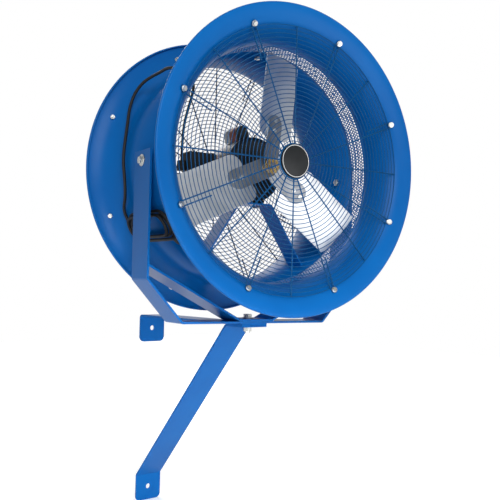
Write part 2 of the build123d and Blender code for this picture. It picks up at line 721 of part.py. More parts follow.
STACK_INNER = MOTOR_RADIUS - MOTOR_WALL - SEAT_CLEARANCE
with BuildPart() as stator_core:
    with BuildSketch(PROFILE):
        add(
            turned(
                [
                    (ROTOR_RADIUS + AIR_GAP, STACK_FRONT),
                    (STACK_INNER, STACK_FRONT),
                    (STACK_INNER, SHELL_BACK),
                    (STACK_RADIUS, SHELL_BACK),
                    (STACK_RADIUS, STACK_BACK),
                    (ROTOR_RADIUS + AIR_GAP, STACK_BACK),
                ]
            )
        )
    revolve(axis=drum_axis())
finish(stator_core.part, "stator_core")


def make_bearing(name, span):
    """A ball bearing as one ring, a running fit on the shaft and seated in its bell."""
    with BuildPart() as bearing:
        with BuildSketch(facing(span[1])):
            Circle(BEARING_DIA / 2)
            Circle(SHAFT_DIA / 2 + RUNNING_CLEARANCE, mode=Mode.SUBTRACT)
        extrude(amount=span[1] - span[0])
    finish(bearing.part, name)


make_bearing("front_bearing", FRONT_BEARING_Y)
make_bearing("rear_bearing", REAR_BEARING_Y)

CAPACITOR_Y = SHELL_FRONT + CAPACITOR_START
with BuildPart() as capacitor_cover:
    with BuildSketch(facing(CAPACITOR_Y + CAPACITOR_LENGTH, CAPACITOR_ANGLE)):
        with Locations((0, CAPACITOR_REACH)):
            Circle(CAPACITOR_RADIUS)
        with Locations((0, CAPACITOR_REACH - CAPACITOR_RADIUS)):
            Rectangle(2 * CAPACITOR_RADIUS, 2 * CAPACITOR_RADIUS)
        Circle(MOTOR_RADIUS + SEAT_CLEARANCE, mode=Mode.SUBTRACT)
    extrude(amount=CAPACITOR_LENGTH)
finish(capacitor_cover.part, "capacitor_cover")

# Motor mounting: a foot under the shell, bolted to a bent bracket that spans the barrel

with BuildPart() as foot_bolt_hole:
    with BuildSketch():
        RegularPolygon(FOOT_BOLT_DIA / 2 + SEAT_CLEARANCE, SHANK_SIDES)
    extrude(amount=2 * FOOT_EDGE_HEIGHT, both=True)
foot_bolt_cut = foot_bolt_hole.part

with BuildPart() as motor_foot:
    with BuildSketch(facing(FOOT_BACK)):
        with Locations((0, BRACKET_TOP + FOOT_EDGE_HEIGHT / 2)):
            Rectangle(2 * FOOT_HALF_WIDTH, FOOT_EDGE_HEIGHT)
        Circle(MOTOR_RADIUS + SEAT_CLEARANCE, mode=Mode.SUBTRACT)
    extrude(amount=FOOT_BACK - FOOT_FRONT)
    foot_under = drum_plane((0, (FOOT_FRONT + FOOT_BACK) / 2, BRACKET_TOP), (0, 0, 1), (1, 0, 0))
    with Locations(foot_under):
        with GridLocations(2 * FOOT_BOLT_X, FOOT_BOLT_SPACING, 2, 2):
            add(foot_bolt_cut, mode=Mode.SUBTRACT)
finish(motor_foot.part, "motor_foot")

with BuildPart() as motor_bracket:
    with BuildSketch(facing(BRACKET_BACK)):
        with BuildLine():
            FilletPolyline(
                (-BRACKET_LEG_X, BRACKET_LEG_Z),
                (-BRACKET_TOP_HALF, BRACKET_TOP),
                (BRACKET_TOP_HALF, BRACKET_TOP),
                (BRACKET_LEG_X, BRACKET_LEG_Z),
                radius=2 * BRACKET_THICK,
            )
            offset(amount=BRACKET_THICK, side=Side.RIGHT)
        make_face()
    extrude(amount=BRACKET_BACK - BRACKET_FRONT)
    with BuildSketch(facing(BRACKET_BACK)):
        Circle(THROAT_RADIUS - SHEET_LAP_GAP)
    extrude(amount=BRACKET_BACK - BRACKET_FRONT, mode=Mode.INTERSECT)
    with Locations(foot_under):
        with GridLocations(2 * FOOT_BOLT_X, FOOT_BOLT_SPACING, 2, 2):
            add(foot_bolt_cut, mode=Mode.SUBTRACT)
finish(motor_bracket.part, "motor_bracket")

with BuildPart() as motor_foot_bolts:
    bracket_under = drum_plane(
        (0, (FOOT_FRONT + FOOT_BACK) / 2, BRACKET_TOP - BRACKET_THICK), (0, 0, -1), (1, 0, 0)
    )
    with BuildSketch(bracket_under):
        with GridLocations(2 * FOOT_BOLT_X, FOOT_BOLT_SPACING, 2, 2):
            RegularPolygon(FOOT_BOLT_FLATS / 2, 6, major_radius=False)
    extrude(amount=FOOT_BOLT_HEAD)
    with BuildSketch(bracket_under):
        with GridLocations(2 * FOOT_BOLT_X, FOOT_BOLT_SPACING, 2, 2):
            RegularPolygon(FOOT_BOLT_DIA / 2, SHANK_SIDES)
    extrude(amount=-(BRACKET_THICK + FOOT_BOLT_GRIP))
finish(motor_foot_bolts.part, "motor_foot_bolts")

# Terminal box beside the motor

with BuildPart() as terminal_box:
    with BuildSketch(facing(BOX_BACK)):
        with Locations(((BOX_LEFT + BOX_RIGHT) / 2, (BOX_TOP + BOX_BOTTOM) / 2)):
            Rectangle(BOX_RIGHT - BOX_LEFT, BOX_TOP - BOX_BOTTOM)
    extrude(amount=BOX_BACK - BOX_FRONT)
    fillet(terminal_box.edges().filter_by(Axis((0, 0, 0), facing(0).z_dir)), radius=BOX_CORNER)
finish(terminal_box.part, "terminal_box")

with BuildPart() as box_neck:
    with BuildSketch(sideways(BOX_RIGHT)):
        with Locations(((BOX_FRONT + SHELL_BACK) / 2, (BOX_TOP + BOX_BOTTOM) / 2)):
            RegularPolygon(BOX_NECK_DIA / 2, ROUND_SIDES)
    extrude(amount=-BOX_RIGHT)
    with BuildSketch(facing(BOX_BACK)):
        Circle(MOTOR_RADIUS + SEAT_CLEARANCE)
    extrude(amount=BOX_BACK - BOX_FRONT, mode=Mode.SUBTRACT)
finish(box_neck.part, "box_neck")

CABLE_X = BOX_LEFT - ELBOW_WIDTH / 2
CABLE_Y = (BOX_FRONT + BOX_BACK) / 2
ELBOW_TOP = BOX_BOTTOM + ELBOW_HEIGHT
with BuildPart() as cable_elbow:
    with BuildSketch(drum_plane((CABLE_X, CABLE_Y, BOX_BOTTOM), (0, 0, 1), (1, 0, 0))):
        RectangleRounded(ELBOW_WIDTH, ELBOW_WIDTH, ELBOW_CORNER)
    extrude(amount=ELBOW_HEIGHT)
finish(cable_elbow.part, "cable_elbow")

# Wheel: shaft, rotor, hub with three tongues, and three paddle blades


def ring_on_shaft(name, radius, front, back, fit):
    """A round piece on the shaft."""
    with BuildPart() as ring:
        with BuildSketch(facing(back)):
            Circle(radius)
            Circle(SHAFT_DIA / 2 + fit, mode=Mode.SUBTRACT)
        extrude(amount=back - front)
    finish(ring.part, name)


with BuildPart() as motor_shaft:
    with BuildSketch(facing(SHAFT_BACK)):
        Circle(SHAFT_DIA / 2)
    extrude(amount=SHAFT_BACK - SHAFT_FRONT)
    chamfer(motor_shaft.edges().filter_by(GeomType.CIRCLE), length=SHAFT_CHAMFER)
finish(motor_shaft.part, "motor_shaft")
ring_on_shaft("rotor_core", ROTOR_RADIUS, STACK_FRONT, STACK_BACK, SEAT_CLEARANCE)


def blade_frame(angle):
    """The frame of a blade: X along its chord, Y out along it, Z to its front face."""
    pitch = radians(BLADE_PITCH)
    flat = Plane((0, BLADE_Y, 0), (cos(pitch), sin(pitch), 0), (sin(pitch), -cos(pitch), 0))
    return placed(DRUM * Location((0, 0, 0), (0, angle, 0)), flat)


def blade_outline():
    """The paddle seen square on: rounded at the root, its tip on the wheel's circle."""
    with BuildSketch() as outline:
        with Locations((0, (BLADE_ROOT_RADIUS + BLADE_TIP_RADIUS + BLADE_TRIM) / 2)):
            Rectangle(BLADE_CHORD, BLADE_TIP_RADIUS + BLADE_TRIM - BLADE_ROOT_RADIUS)
        Circle(BLADE_TIP_RADIUS, mode=Mode.INTERSECT)
        fillet(outline.vertices().group_by(Axis.Y)[0], radius=BLADE_ROOT_CORNER)
        fillet(outline.vertices().group_by(Axis.Y)[-1], radius=BLADE_TIP_CORNER)
    return outline.sketch


def tongue_outline():
    """One tongue of the hub's spider: a strap with a round end."""
    with BuildSketch() as outline:
        with Locations((0, (TONGUE_END_RADIUS - TONGUE_WIDTH / 2) / 2)):
            Rectangle(TONGUE_WIDTH, TONGUE_END_RADIUS - TONGUE_WIDTH / 2)
        with Locations((0, TONGUE_END_RADIUS - TONGUE_WIDTH / 2)):
            Circle(TONGUE_WIDTH / 2)
    return outline.sketch


def bowed_cut(angle, outline, near, thick):
    """A bowed sheet trimmed to an outline."""
    with BuildPart() as bowed:
        with BuildSketch(blade_frame(angle) * Location((0, 0, 0), (90, 0, 0))):
            with Locations((0, BLADE_CAMBER_RADIUS)):
                Circle(BLADE_CAMBER_RADIUS - near)
                Circle(BLADE_CAMBER_RADIUS - near - thick, mode=Mode.SUBTRACT)
            Rectangle(BLADE_CHORD + 2 * BLADE_THICK, BLADE_CHORD, mode=Mode.INTERSECT)
        extrude(amount=-BLADE_TIP_RADIUS - BLADE_TRIM)
        with BuildSketch(blade_frame(angle)):
            add(outline)
        extrude(amount=BLADE_CHORD / 2, both=True, mode=Mode.INTERSECT)
    return bowed.part


with BuildPart() as rivet_hole:
    with BuildSketch():
        RegularPolygon(RIVET_DIA / 2 + SHEET_LAP_GAP, SHANK_SIDES)
    extrude(amount=CUT_LENGTH / 2, both=True)
rivet_cut = rivet_hole.part

for number, angle in enumerate(BLADE_ANGLES, start=1):
    with BuildPart() as blade:
        add(bowed_cut(angle, blade_outline(), -BLADE_THICK, BLADE_THICK))
        with Locations(blade_frame(angle)):
            for radius in RIVET_RADII:
                with Locations((0, radius)):
                    add(rivet_cut, mode=Mode.SUBTRACT)
    finish(blade.part, f"blade_{number}")

with BuildPart() as spider:
    for angle in BLADE_ANGLES:
        add(bowed_cut(angle, tongue_outline(), SHEET_LAP_GAP, TONGUE_THICK))
    for angle in BLADE_ANGLES:
        with Locations(blade_frame(angle)):
            for radius in RIVET_RADII:
                with Locations((0, radius)):
                    add(rivet_cut, mode=Mode.SUBTRACT)
    with BuildSketch(facing(HUB_BACK)):
        Circle(HUB_RADIUS)
    extrude(amount=HUB_BACK - HUB_FRONT)
    with BuildSketch(facing(HUB_BACK + 1)):
        Circle(SHAFT_DIA / 2 + SEAT_CLEARANCE)
    extrude(amount=HUB_BACK - HUB_FRONT + 2, mode=Mode.SUBTRACT)
finish(spider.part, "spider")

RIVET_FACE = 2 * SHEET_LAP_GAP + TONGUE_THICK
with BuildPart() as blade_rivets:
    for angle in BLADE_ANGLES:
        frame = blade_frame(angle)
        for radius in RIVET_RADII:
            seat = frame * Location((0, radius, 0))
            with BuildSketch(Plane(seat).offset(RIVET_FACE)):
                RegularPolygon(RIVET_HEAD_DIA / 2, ROUND_SIDES)
            extrude(amount=RIVET_HEAD_HEIGHT)
            with BuildSketch(Plane(seat).offset(RIVET_FACE)):
                RegularPolygon(RIVET_DIA / 2, SHANK_SIDES)
            extrude(amount=-(RIVET_FACE + BLADE_THICK + RIVET_HEAD_HEIGHT))
            with BuildSketch(Plane(seat).offset(-BLADE_THICK - SHEET_LAP_GAP)):
                RegularPolygon(RIVET_HEAD_DIA / 2, ROUND_SIDES)
            extrude(amount=-RIVET_HEAD_HEIGHT)
finish(blade_rivets.part, "blade_rivets")

# Hanging bolt through the top of the barrel

with BuildPart() as hanger_bolt:
    with BuildSketch(HANGER_SEAT.offset(-BOLT_HOLE_CLEARANCE)):
        RegularPolygon(HANGER_FLATS / 2, 6, major_radius=False)
    extrude(amount=-HANGER_HEAD)
    with BuildSketch(HANGER_SEAT.offset(-BOLT_HOLE_CLEARANCE)):
        Circle(HANGER_BOLT_DIA / 2)
    extrude(amount=SHEET + HANGER_HEAD + HANGER_THREAD_END)
finish(hanger_bolt.part, "hanger_bolt")

with BuildPart() as hanger_nut:
    with BuildSketch(HANGER_SEAT.offset(SHEET + SHEET_LAP_GAP)):
        RegularPolygon(HANGER_FLATS / 2, 6, major_radius=False)
        Circle(HANGER_BOLT_DIA / 2 + SEAT_CLEARANCE, mode=Mode.SUBTRACT)
    extrude(amount=HANGER_HEAD)
finish(hanger_nut.part, "hanger_nut")

# Power cord. Its gland leans to the back; the cord runs over the barrel and down to its hank.

# Drum-frame points of the free stretch, from the gland's tip to the top of the hank, chosen by hand
CORD_ROUTE = [
    (-267.5, -38, 249.5),
    (-282.0, -18.2, 263.0),
    (-288.2, 14, 268.7),
    (-285.8, 62, 267.5),
    (-284.6, 112, 268.0),
    (-295.9, 154, 257.2),
    (-312.3, 178, 226.9),
    (-327.1, 182, 181.3),
    (-338.5, 168, 126.1),
    (-351.4, 154, 68.3),
    (-357.8, 150, 12.5),
    (-355.7, 140, -40.5),
    (-348.5, 146, -95.2),
]

HANK = drum_plane(
    drum_point(HANK_RADIUS, HANK_MIDDLE_Y, HANK_ANGLE), drum_direction(1, 0, HANK_ANGLE), (0, 1, 0)
)
TURN_RADII = [HANK_TURN_RADIUS - k * HANK_PITCH / 2 for k in range(4)]


def in_hank(x, down, out):
    """A point from the hank's own frame: X to the back along its runs, down the barrel, out from it."""
    return HANK.from_local_coords((x, down, out))


def half_turn(end, side, start, finish_at, low, high):
    """One end of the hank: the turn from a run on one side to the next run on the other side."""
    middle = (finish_at - start) / 2 * side
    radius = hypot((start + finish_at) / 2, (high - low) / 2)
    return ThreePointArc(
        in_hank(end, -side * start, low),
        in_hank(end + (radius if end > 0 else -radius), middle, (low + high) / 2),
        in_hank(end, side * finish_at, high),
    )


def hank_line():
    """The hank's line: it spirals in against the barrel, climbs a layer in one turn, and spirals out."""
    far = HANK_HALF_RUN
    entry = TURN_RADII[0] + HANK_PITCH / 4
    drop = TURN_RADII[0] - entry
    runs = [(r, 0) for r in TURN_RADII] + [(r, HANK_PITCH) for r in reversed(TURN_RADII[1:])]
    with BuildLine() as line:
        Line(in_hank(far + entry, drop - HANK_LEAD, 0), in_hank(far + entry, drop, 0))
        ThreePointArc(
            in_hank(far + entry, drop, 0),
            in_hank(far + entry * sin(radians(45)), drop + entry * sin(radians(45)), 0),
            in_hank(far, TURN_RADII[0], 0),
        )
        for k, (offset_now, layer) in enumerate(runs):
            side = 1 if k % 2 == 0 else -1
            last = k == len(runs) - 1
            tail = HANK_TAIL if last else 0
            Line(
                in_hank(side * far, side * offset_now, layer),
                in_hank(-side * far - tail, side * offset_now, layer),
            )
            if not last:
                offset_next, layer_next = runs[k + 1]
                half_turn(-side * far, -side, offset_now, offset_next, layer, layer_next)
    return line.wire()


def least_self_gap(line, step, skip):
    """The least clear distance between parts of the line that lie further apart along it than skip."""
    count = int(line.length / step)
    points = [line.position_at(k / count) for k in range(count + 1)]
    least = line.length
    for i, here in enumerate(points):
        for there in points[i + int(skip / step):]:
            least = min(least, (here - there).length)
    return least - CORD_DIA


def tube(line, diameter, sides):
    """A tube along a line, with a many-sided section."""
    with BuildPart() as swept:
        with BuildSketch(Plane(origin=line @ 0, z_dir=line % 0)):
            RegularPolygon(diameter / 2, sides)
        sweep(path=line)
    return swept.part


def route_line(route):
    """Straight runs of a drum-frame route joined by arcs as large as the runs allow; prints the radii."""
    corners = [(DRUM * Location(point)).position for point in route]
    radii = []
    for before, at, after in zip(corners, corners[1:], corners[2:]):
        turn = (at - before).get_angle(after - at)
        shorter = min((at - before).length, (after - at).length)
        radii.append(0.45 * shorter / tan(radians(turn / 2)))
    print("bend radii", [round(r) for r in radii])
    with BuildLine() as line:
        FilletPolyline(*corners, radius=radii)
    return line.wire()


hank_route = hank_line()
print("hank length", round(hank_route.length), "least gap", round(least_self_gap(hank_route, 4, 40), 2))
cord_coil = tube(hank_route, CORD_DIA, CORD_SIDES)
finish(cord_coil, "cord_coil")

hank_start = DRUM.inverse() * Location(hank_route @ 0)
hank_lead = in_hank(HANK_HALF_RUN + TURN_RADII[0] + HANK_PITCH / 4, -HANK_PITCH / 4 - HANK_LEAD - HANK_RUN_IN, 0)
lead_local = DRUM.inverse() * Location(hank_lead)
free_route = CORD_ROUTE + [tuple(lead_local.position), tuple(hank_start.position)]
cord_route = route_line(free_route)
power_cord = tube(cord_route, CORD_DIA, CORD_SIDES)
print("free cord length", round(cord_route.length))
finish(power_cord, "power_cord")

with BuildPart() as cord_plug:
    plug_end = in_hank(-HANK_HALF_RUN - HANK_TAIL, TURN_RADII[1], HANK_PITCH)
    plug_face = Plane(origin=plug_end, x_dir=HANK.z_dir, z_dir=-HANK.x_dir)
    with BuildSketch(plug_face):
        RegularPolygon(PLUG_NECK_DIA / 2, ROUND_SIDES)
    extrude(amount=PLUG_NECK_LENGTH)
    with BuildSketch(plug_face.offset(PLUG_NECK_LENGTH)):
        RegularPolygon(PLUG_DIA / 2, 2 * ROUND_SIDES)
    extrude(amount=PLUG_BODY_LENGTH)
    with BuildSketch(plug_face.offset(PLUG_NECK_LENGTH + PLUG_BODY_LENGTH)):
        with Locations((0, PLUG_BLADE_SPACING / 2), (0, -PLUG_BLADE_SPACING / 2)):
            Rectangle(PLUG_BLADE_WIDTH, PLUG_BLADE_THICK)
        with Locations((PLUG_EARTH_OFFSET, 0)):
            RegularPolygon(PLUG_EARTH_DIA / 2, SHANK_SIDES)
    extrude(amount=PLUG_PIN_LENGTH)
finish(cord_plug.part, "cord_plug")

with BuildPart() as cord_tie:
    tie_plane = Plane(origin=in_hank(0, -(TURN_RADII[1] + TURN_RADII[3]) / 2, HANK_PITCH / 2),
                      x_dir=HANK.y_dir, z_dir=HANK.x_dir)
    tie_width = TURN_RADII[1] - TURN_RADII[3] + CORD_DIA + 2 * TIE_SLACK
    tie_height = HANK_PITCH + CORD_DIA + 2 * TIE_SLACK
    with BuildSketch(tie_plane):
        RectangleRounded(tie_width + 2 * TIE_THICK, tie_height + 2 * TIE_THICK, CORD_DIA / 2)
        RectangleRounded(tie_width, tie_height, CORD_DIA / 2 - TIE_THICK, mode=Mode.SUBTRACT)
    extrude(amount=TIE_WIDTH / 2, both=True)
finish(cord_tie.part, "cord_tie")

GLAND_TIP = Vector(*CORD_ROUTE[0])
LEAN = drum_direction(cos(radians(GLAND_LEAN)), sin(radians(GLAND_LEAN)), GLAND_ANGLE)
GLAND_FOOT = drum_point(THROAT_OUTER + GLAND_BASE_THICK / 2, GLAND_Y, GLAND_ANGLE)
with BuildPart() as cord_gland:
    with BuildSketch(GLAND_SEAT):
        RegularPolygon(GLAND_BASE_DIA / 2, 2 * ROUND_SIDES)
    extrude(amount=GLAND_BASE_THICK)
    with BuildSketch(drum_plane(GLAND_TIP - LEAN * SEAT_CLEARANCE, LEAN, (0, 1, 0))):
        RegularPolygon(GLAND_TIP_DIA / 2, SHANK_SIDES)
    with BuildSketch(drum_plane(GLAND_TIP - LEAN * (GLAND_TIP - GLAND_FOOT).length, LEAN, (0, 1, 0))):
        RegularPolygon(GLAND_SLEEVE_DIA / 2, SHANK_SIDES)
    loft(ruled=True)
    with BuildSketch(facing(0)):
        Circle(THROAT_OUTER + SEAT_CLEARANCE)
    extrude(amount=2 * HALF_DEPTH, both=True, mode=Mode.SUBTRACT)
finish(cord_gland.part, "cord_gland")

# Cable inside the barrel, from the gland down to the terminal box, its points chosen by hand
INNER_ROUTE = [
    tuple(drum_point(THROAT_OUTER, GLAND_Y, GLAND_ANGLE)),
    tuple(drum_point(THROAT_OUTER - 24, GLAND_Y, GLAND_ANGLE)),
    (-229, -38, 196),
    (-226, -8, 160),
    (-222, 26, 116),
    (CABLE_X, CABLE_Y, 56),
    (CABLE_X, CABLE_Y, ELBOW_TOP),
]
inner_route = route_line(INNER_ROUTE)
inner_cable = tube(inner_route, INNER_CABLE_DIA, CORD_SIDES)
finish(inner_cable, "inner_cable")
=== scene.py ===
"""Wall fan: a spun steel drum in a swinging yoke on a flat-bar wall bracket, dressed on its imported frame.

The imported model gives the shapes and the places. This script softens the edges of the bars and plates,
spins the drum's bells and the guards' wires afresh, punches the band's holes, lays the cords, and gives
every piece its finish. Lengths are in metres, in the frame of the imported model; the drum's own frame has
X right, Y to the back and Z up.
"""

import json
import logging
import math
from dataclasses import dataclass
from enum import Enum
from typing import Iterable, Sequence

import bmesh
import bpy
from mathutils import Matrix, Vector

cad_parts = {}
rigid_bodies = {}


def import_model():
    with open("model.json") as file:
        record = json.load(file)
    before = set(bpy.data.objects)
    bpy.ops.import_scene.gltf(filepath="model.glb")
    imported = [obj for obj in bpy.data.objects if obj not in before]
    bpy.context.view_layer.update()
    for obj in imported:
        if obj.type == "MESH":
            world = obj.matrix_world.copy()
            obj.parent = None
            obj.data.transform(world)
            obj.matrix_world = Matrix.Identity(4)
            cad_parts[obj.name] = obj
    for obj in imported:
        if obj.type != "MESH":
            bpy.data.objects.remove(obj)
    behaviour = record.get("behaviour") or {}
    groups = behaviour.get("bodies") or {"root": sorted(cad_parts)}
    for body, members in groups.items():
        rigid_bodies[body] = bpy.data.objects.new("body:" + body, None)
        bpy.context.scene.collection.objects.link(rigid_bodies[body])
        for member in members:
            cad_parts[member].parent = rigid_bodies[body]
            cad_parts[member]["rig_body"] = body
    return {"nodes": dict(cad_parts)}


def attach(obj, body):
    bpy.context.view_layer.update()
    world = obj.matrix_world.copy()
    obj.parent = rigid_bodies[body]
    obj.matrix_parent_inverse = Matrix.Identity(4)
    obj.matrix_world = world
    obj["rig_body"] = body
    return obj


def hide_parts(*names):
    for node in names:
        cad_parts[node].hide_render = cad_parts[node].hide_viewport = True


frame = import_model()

log = logging.getLogger("wall_fan")

BMesh, BMVert = bmesh.types.BMesh, bmesh.types.BMVert
NodeTree, NodeSocket = bpy.types.NodeTree, bpy.types.NodeSocket
Pair, Triple = tuple[float, float], tuple[float, float, float]

MM = 0.001
DRUM_MIDDLE = Vector((0.0, -0.509, 0.7935))
PAN_AT_REST = math.radians(-9.0)
DRUM = Matrix.Translation(DRUM_MIDDLE) @ Matrix.Rotation(PAN_AT_REST, 4, "Z")
DRUM_AXIS = Vector((0, 1, 0))

# Points nearer than this are one: in a turned shape, in a CAD mesh, and round the whole band
WELD = 1e-6
CAD_WELD = 2e-6
BAND_WELD = 2e-5

WHITE = (1.0, 1.0, 1.0, 1.0)

# Noise keeps near the middle of its range: these parts of it are spread over both tones and both glosses
TONE_RANGE = (0.3, 0.7)
GLOSS_RANGE = (0.25, 0.75)
BUMP_STRENGTH = 0.6
COAT_ROUGHNESS = 0.12


class Side(Enum):
    """The two ends of the drum, by the sign of the drum's Y."""

    FRONT = -1
    REAR = 1


class Grain(Enum):
    """How a surface was made, which decides its fine pattern."""

    PEEL = "sprayed or powder coated, with a faint orange peel"
    BRUSHED = "rolled or brushed sheet, with lines one way"
    PLATED = "zinc plated, with small dull and bright patches"
    CAST = "cast, with a sandy skin"
    MOULDED = "moulded plastic or rubber, with a fine even texture"
    LAMINATED = "stacked sheets, with their edges showing"


def linear(code: str) -> tuple[float, float, float, float]:
    """Turns an sRGB hex code into the linear colour that a shader takes.

    Args:
        code: The colour as "#rrggbb".

    Returns:
        Linear red, green and blue, and an alpha of 1.
    """
    parts = [int(code[i:i + 2], 16) / 255 for i in (1, 3, 5)]
    red, green, blue = [p / 12.92 if p <= 0.04045 else ((p + 0.055) / 1.055) ** 2.4 for p in parts]
    return red, green, blue, 1.0


def add_node(tree: NodeTree, kind: str, values: dict | None = None, links: dict | None = None,
             **settings) -> bpy.types.Node:
    """Adds a node to a tree with its settings, its sockets' values and its links.

    Args:
        tree: The node tree.
        kind: The node's type name.
        values: The values of input sockets, by name or number.
        links: The output sockets that feed input sockets, by name or number.
        **settings: The node's own settings.

    Returns:
        The new node.
    """
    node = tree.nodes.new(kind)
    for name, value in settings.items():
        setattr(node, name, value)
    for socket, value in (values or {}).items():
        node.inputs[socket].default_value = value
    for socket, source in (links or {}).items():
        tree.links.new(source, node.inputs[socket])
    return node


def stand(name: str, data: bpy.types.ID) -> bpy.types.Object:
    """Puts a new object into the scene.

    Args:
        name: The object's name.
        data: Its mesh, curve, lamp or camera.

    Returns:
        The object.
    """
    thing = bpy.data.objects.new(name, data)
    bpy.context.scene.collection.objects.link(thing)
    return thing


def combine(tree: NodeTree, operation: str, first: NodeSocket, second: NodeSocket) -> NodeSocket:
    """Adds a math node on two values.

    Args:
        tree: The node tree.
        operation: The math node's operation.
        first: The first value.
        second: The second value.

    Returns:
        The result.
    """
    return add_node(tree, "ShaderNodeMath", {}, {0: first, 1: second}, operation=operation).outputs[0]


def remap(tree: NodeTree, value: NodeSocket, source: Pair, target: Pair = (0.0, 1.0)) -> NodeSocket:
    """Maps one range of a value to another.

    Args:
        tree: The node tree.
        value: The value.
        source: The range that it comes from.
        target: The range that it goes to.

    Returns:
        The result.
    """
    limits = {"From Min": source[0], "From Max": source[1], "To Min": target[0], "To Max": target[1]}
    return add_node(tree, "ShaderNodeMapRange", limits, {"Value": value}).outputs[0]


def backdrop_rays(tree: NodeTree) -> tuple[NodeSocket, NodeSocket]:
    """Adds a light path to a floor's or a world's tree.

    Args:
        tree: The node tree.

    Returns:
        Whether the ray comes from the camera or through glass, and whether it is mirrored.
    """
    rays = add_node(tree, "ShaderNodeLightPath").outputs
    return combine(tree, "MAXIMUM", rays["Is Camera Ray"], rays["Is Transmission Ray"]), rays["Is Glossy Ray"]


@dataclass(frozen=True)
class Finish:
    """One surface finish: its colour, its gloss and its fine pattern.

    Attributes:
        name: The material's name.
        slot: The record's material slot that it stands for.
        tones: The darker and the lighter tone of its patches, as sRGB hex codes.
        patch_mm: The size of the soft patches between the two tones.
        gloss: The least and the greatest roughness.
        grain: How the surface was made.
        grain_mm: The size of the fine pattern.
        relief_mm: The height of the fine pattern.
        metallic: 1 for bare metal.
        coat: The weight of the clear top layer.
        shine: How strongly paint, plastic or rubber mirrors; 0.5 is full.
    """

    name: str
    slot: str
    tones: tuple[str, str]
    patch_mm: float
    gloss: Pair
    grain: Grain
    grain_mm: float
    relief_mm: float
    metallic: float = 0.0
    coat: float = 0.0
    shine: float = 0.5

    def pattern(self, tree: NodeTree) -> NodeSocket:
        """Adds the fine pattern.

        Args:
            tree: The material's node tree.

        Returns:
            The pattern's height, from 0 to 1.
        """
        where = add_node(tree, "ShaderNodeTexCoord").outputs["Object"]
        scale = 1000 / self.grain_mm
        if self.grain is Grain.BRUSHED:
            # The pattern is stretched fifty times along Y, into lines
            laid = add_node(tree, "ShaderNodeMapping", {"Scale": (1.0, 0.02, 1.0)}, {"Vector": where})
            noise = add_node(tree, "ShaderNodeTexNoise", {"Scale": scale, "Detail": 4.0, "Roughness": 0.6},
                             {"Vector": laid.outputs[0]})
            return noise.outputs["Fac"]
        if self.grain is Grain.PLATED:
            cells = add_node(tree, "ShaderNodeTexVoronoi", {"Scale": scale}, {"Vector": where})
            return cells.outputs["Distance"]
        if self.grain is Grain.LAMINATED:
            # The sheets' edges run square to the drum's axis, and this scale gives one wave a sheet
            laid = add_node(tree, "ShaderNodeMapping", {"Rotation": (0.0, 0.0, -PAN_AT_REST)},
                            {"Vector": where})
            wave = add_node(tree, "ShaderNodeTexWave", {"Scale": scale / 3.1416, "Distortion": 0.3},
                            {"Vector": laid.outputs[0]}, bands_direction="Y")
            return wave.outputs["Fac"]
        detail = 6.0 if self.grain is Grain.CAST else 1.5
        noise = add_node(tree, "ShaderNodeTexNoise", {"Scale": scale, "Detail": detail}, {"Vector": where})
        return noise.outputs["Fac"]

    def build(self) -> bpy.types.Material:
        """Builds the material.

        Returns:
            The material, with its nodes.
        """
        material = bpy.data.materials.new(self.name)
        material.use_nodes = True
        tree = material.node_tree
        shader = tree.nodes["Principled BSDF"]
        height = self.pattern(tree)
        where = add_node(tree, "ShaderNodeTexCoord").outputs["Object"]
        patches = add_node(tree, "ShaderNodeTexNoise", {"Scale": 1000 / self.patch_mm, "Detail": 3.0},
                           {"Vector": where}).outputs["Fac"]
        colour = add_node(tree, "ShaderNodeMix", {6: linear(self.tones[0]), 7: linear(self.tones[1])},
                          {0: remap(tree, patches, TONE_RANGE)}, data_type="RGBA")
        dull = remap(tree, height if self.metallic else patches, GLOSS_RANGE, self.gloss)
        bump = add_node(tree, "ShaderNodeBump", {"Strength": BUMP_STRENGTH, "Distance": self.relief_mm * MM},
                        {"Height": height})
        tree.links.new(colour.outputs[2], shader.inputs["Base Color"])
        tree.links.new(dull, shader.inputs["Roughness"])
        tree.links.new(bump.outputs[0], shader.inputs["Normal"])
        shader.inputs["Metallic"].default_value = self.metallic
        if not self.metallic:
            shader.inputs["Specular IOR Level"].default_value = self.shine
        shader.inputs["Coat Weight"].default_value = self.coat
        shader.inputs["Coat Roughness"].default_value = COAT_ROUGHNESS
        return material


# Blue powder coat on steel: even colour, a broad soft highlight, a faint orange peel
BLUE_ENAMEL = Finish("powder_coat_blue", "blue_enamel", ("#045BA6", "#0766B3"), 300, (0.26, 0.34),
                     Grain.PEEL, 2.5, 0.02, shine=0.12)
# The same blue powder coat on the front guard's thin wire, with painted shade: its tones are darker than the
# drum's
WIRE_PAINTED_SHADE_ENAMEL = Finish("powder_coat_wire", "blue_enamel", ("#0B4878", "#0F5589"), 200, (0.3, 0.38),
                     Grain.PEEL, 2.5, 0.02, shine=0.12)
# The same blue powder coat on the rear guard, with painted shade: its tones are a dark navy, for the shade on
# its unlit inner side
REAR_GUARD_PAINTED_SHADE_ENAMEL = Finish("powder_coat_rear_painted_shade", "blue_enamel", ("#0A2448", "#0D2C58"), 200, (0.32, 0.4),
                     Grain.PEEL, 2.5, 0.02, shine=0.12)
# Bright zinc plate: pale and slightly mottled
ZINC = Finish("zinc_plate", "zinc_steel", ("#B9BBB8", "#D9DAD6"), 12, (0.22, 0.42),
              Grain.PLATED, 3, 0.02, metallic=1.0)
# Black spray enamel on castings and pressings
BLACK_ENAMEL = Finish("black_enamel", "black_enamel", ("#121416", "#1C1F22"), 40, (0.34, 0.46),
                      Grain.PEEL, 1.8, 0.05, shine=0.3)
# Moulded black nylon: matt with a fine spark-eroded texture
BLACK_NYLON = Finish("moulded_nylon_black", "black_plastic", ("#101112", "#191A1C"), 30, (0.5, 0.62),
                     Grain.MOULDED, 0.8, 0.03, shine=0.3)
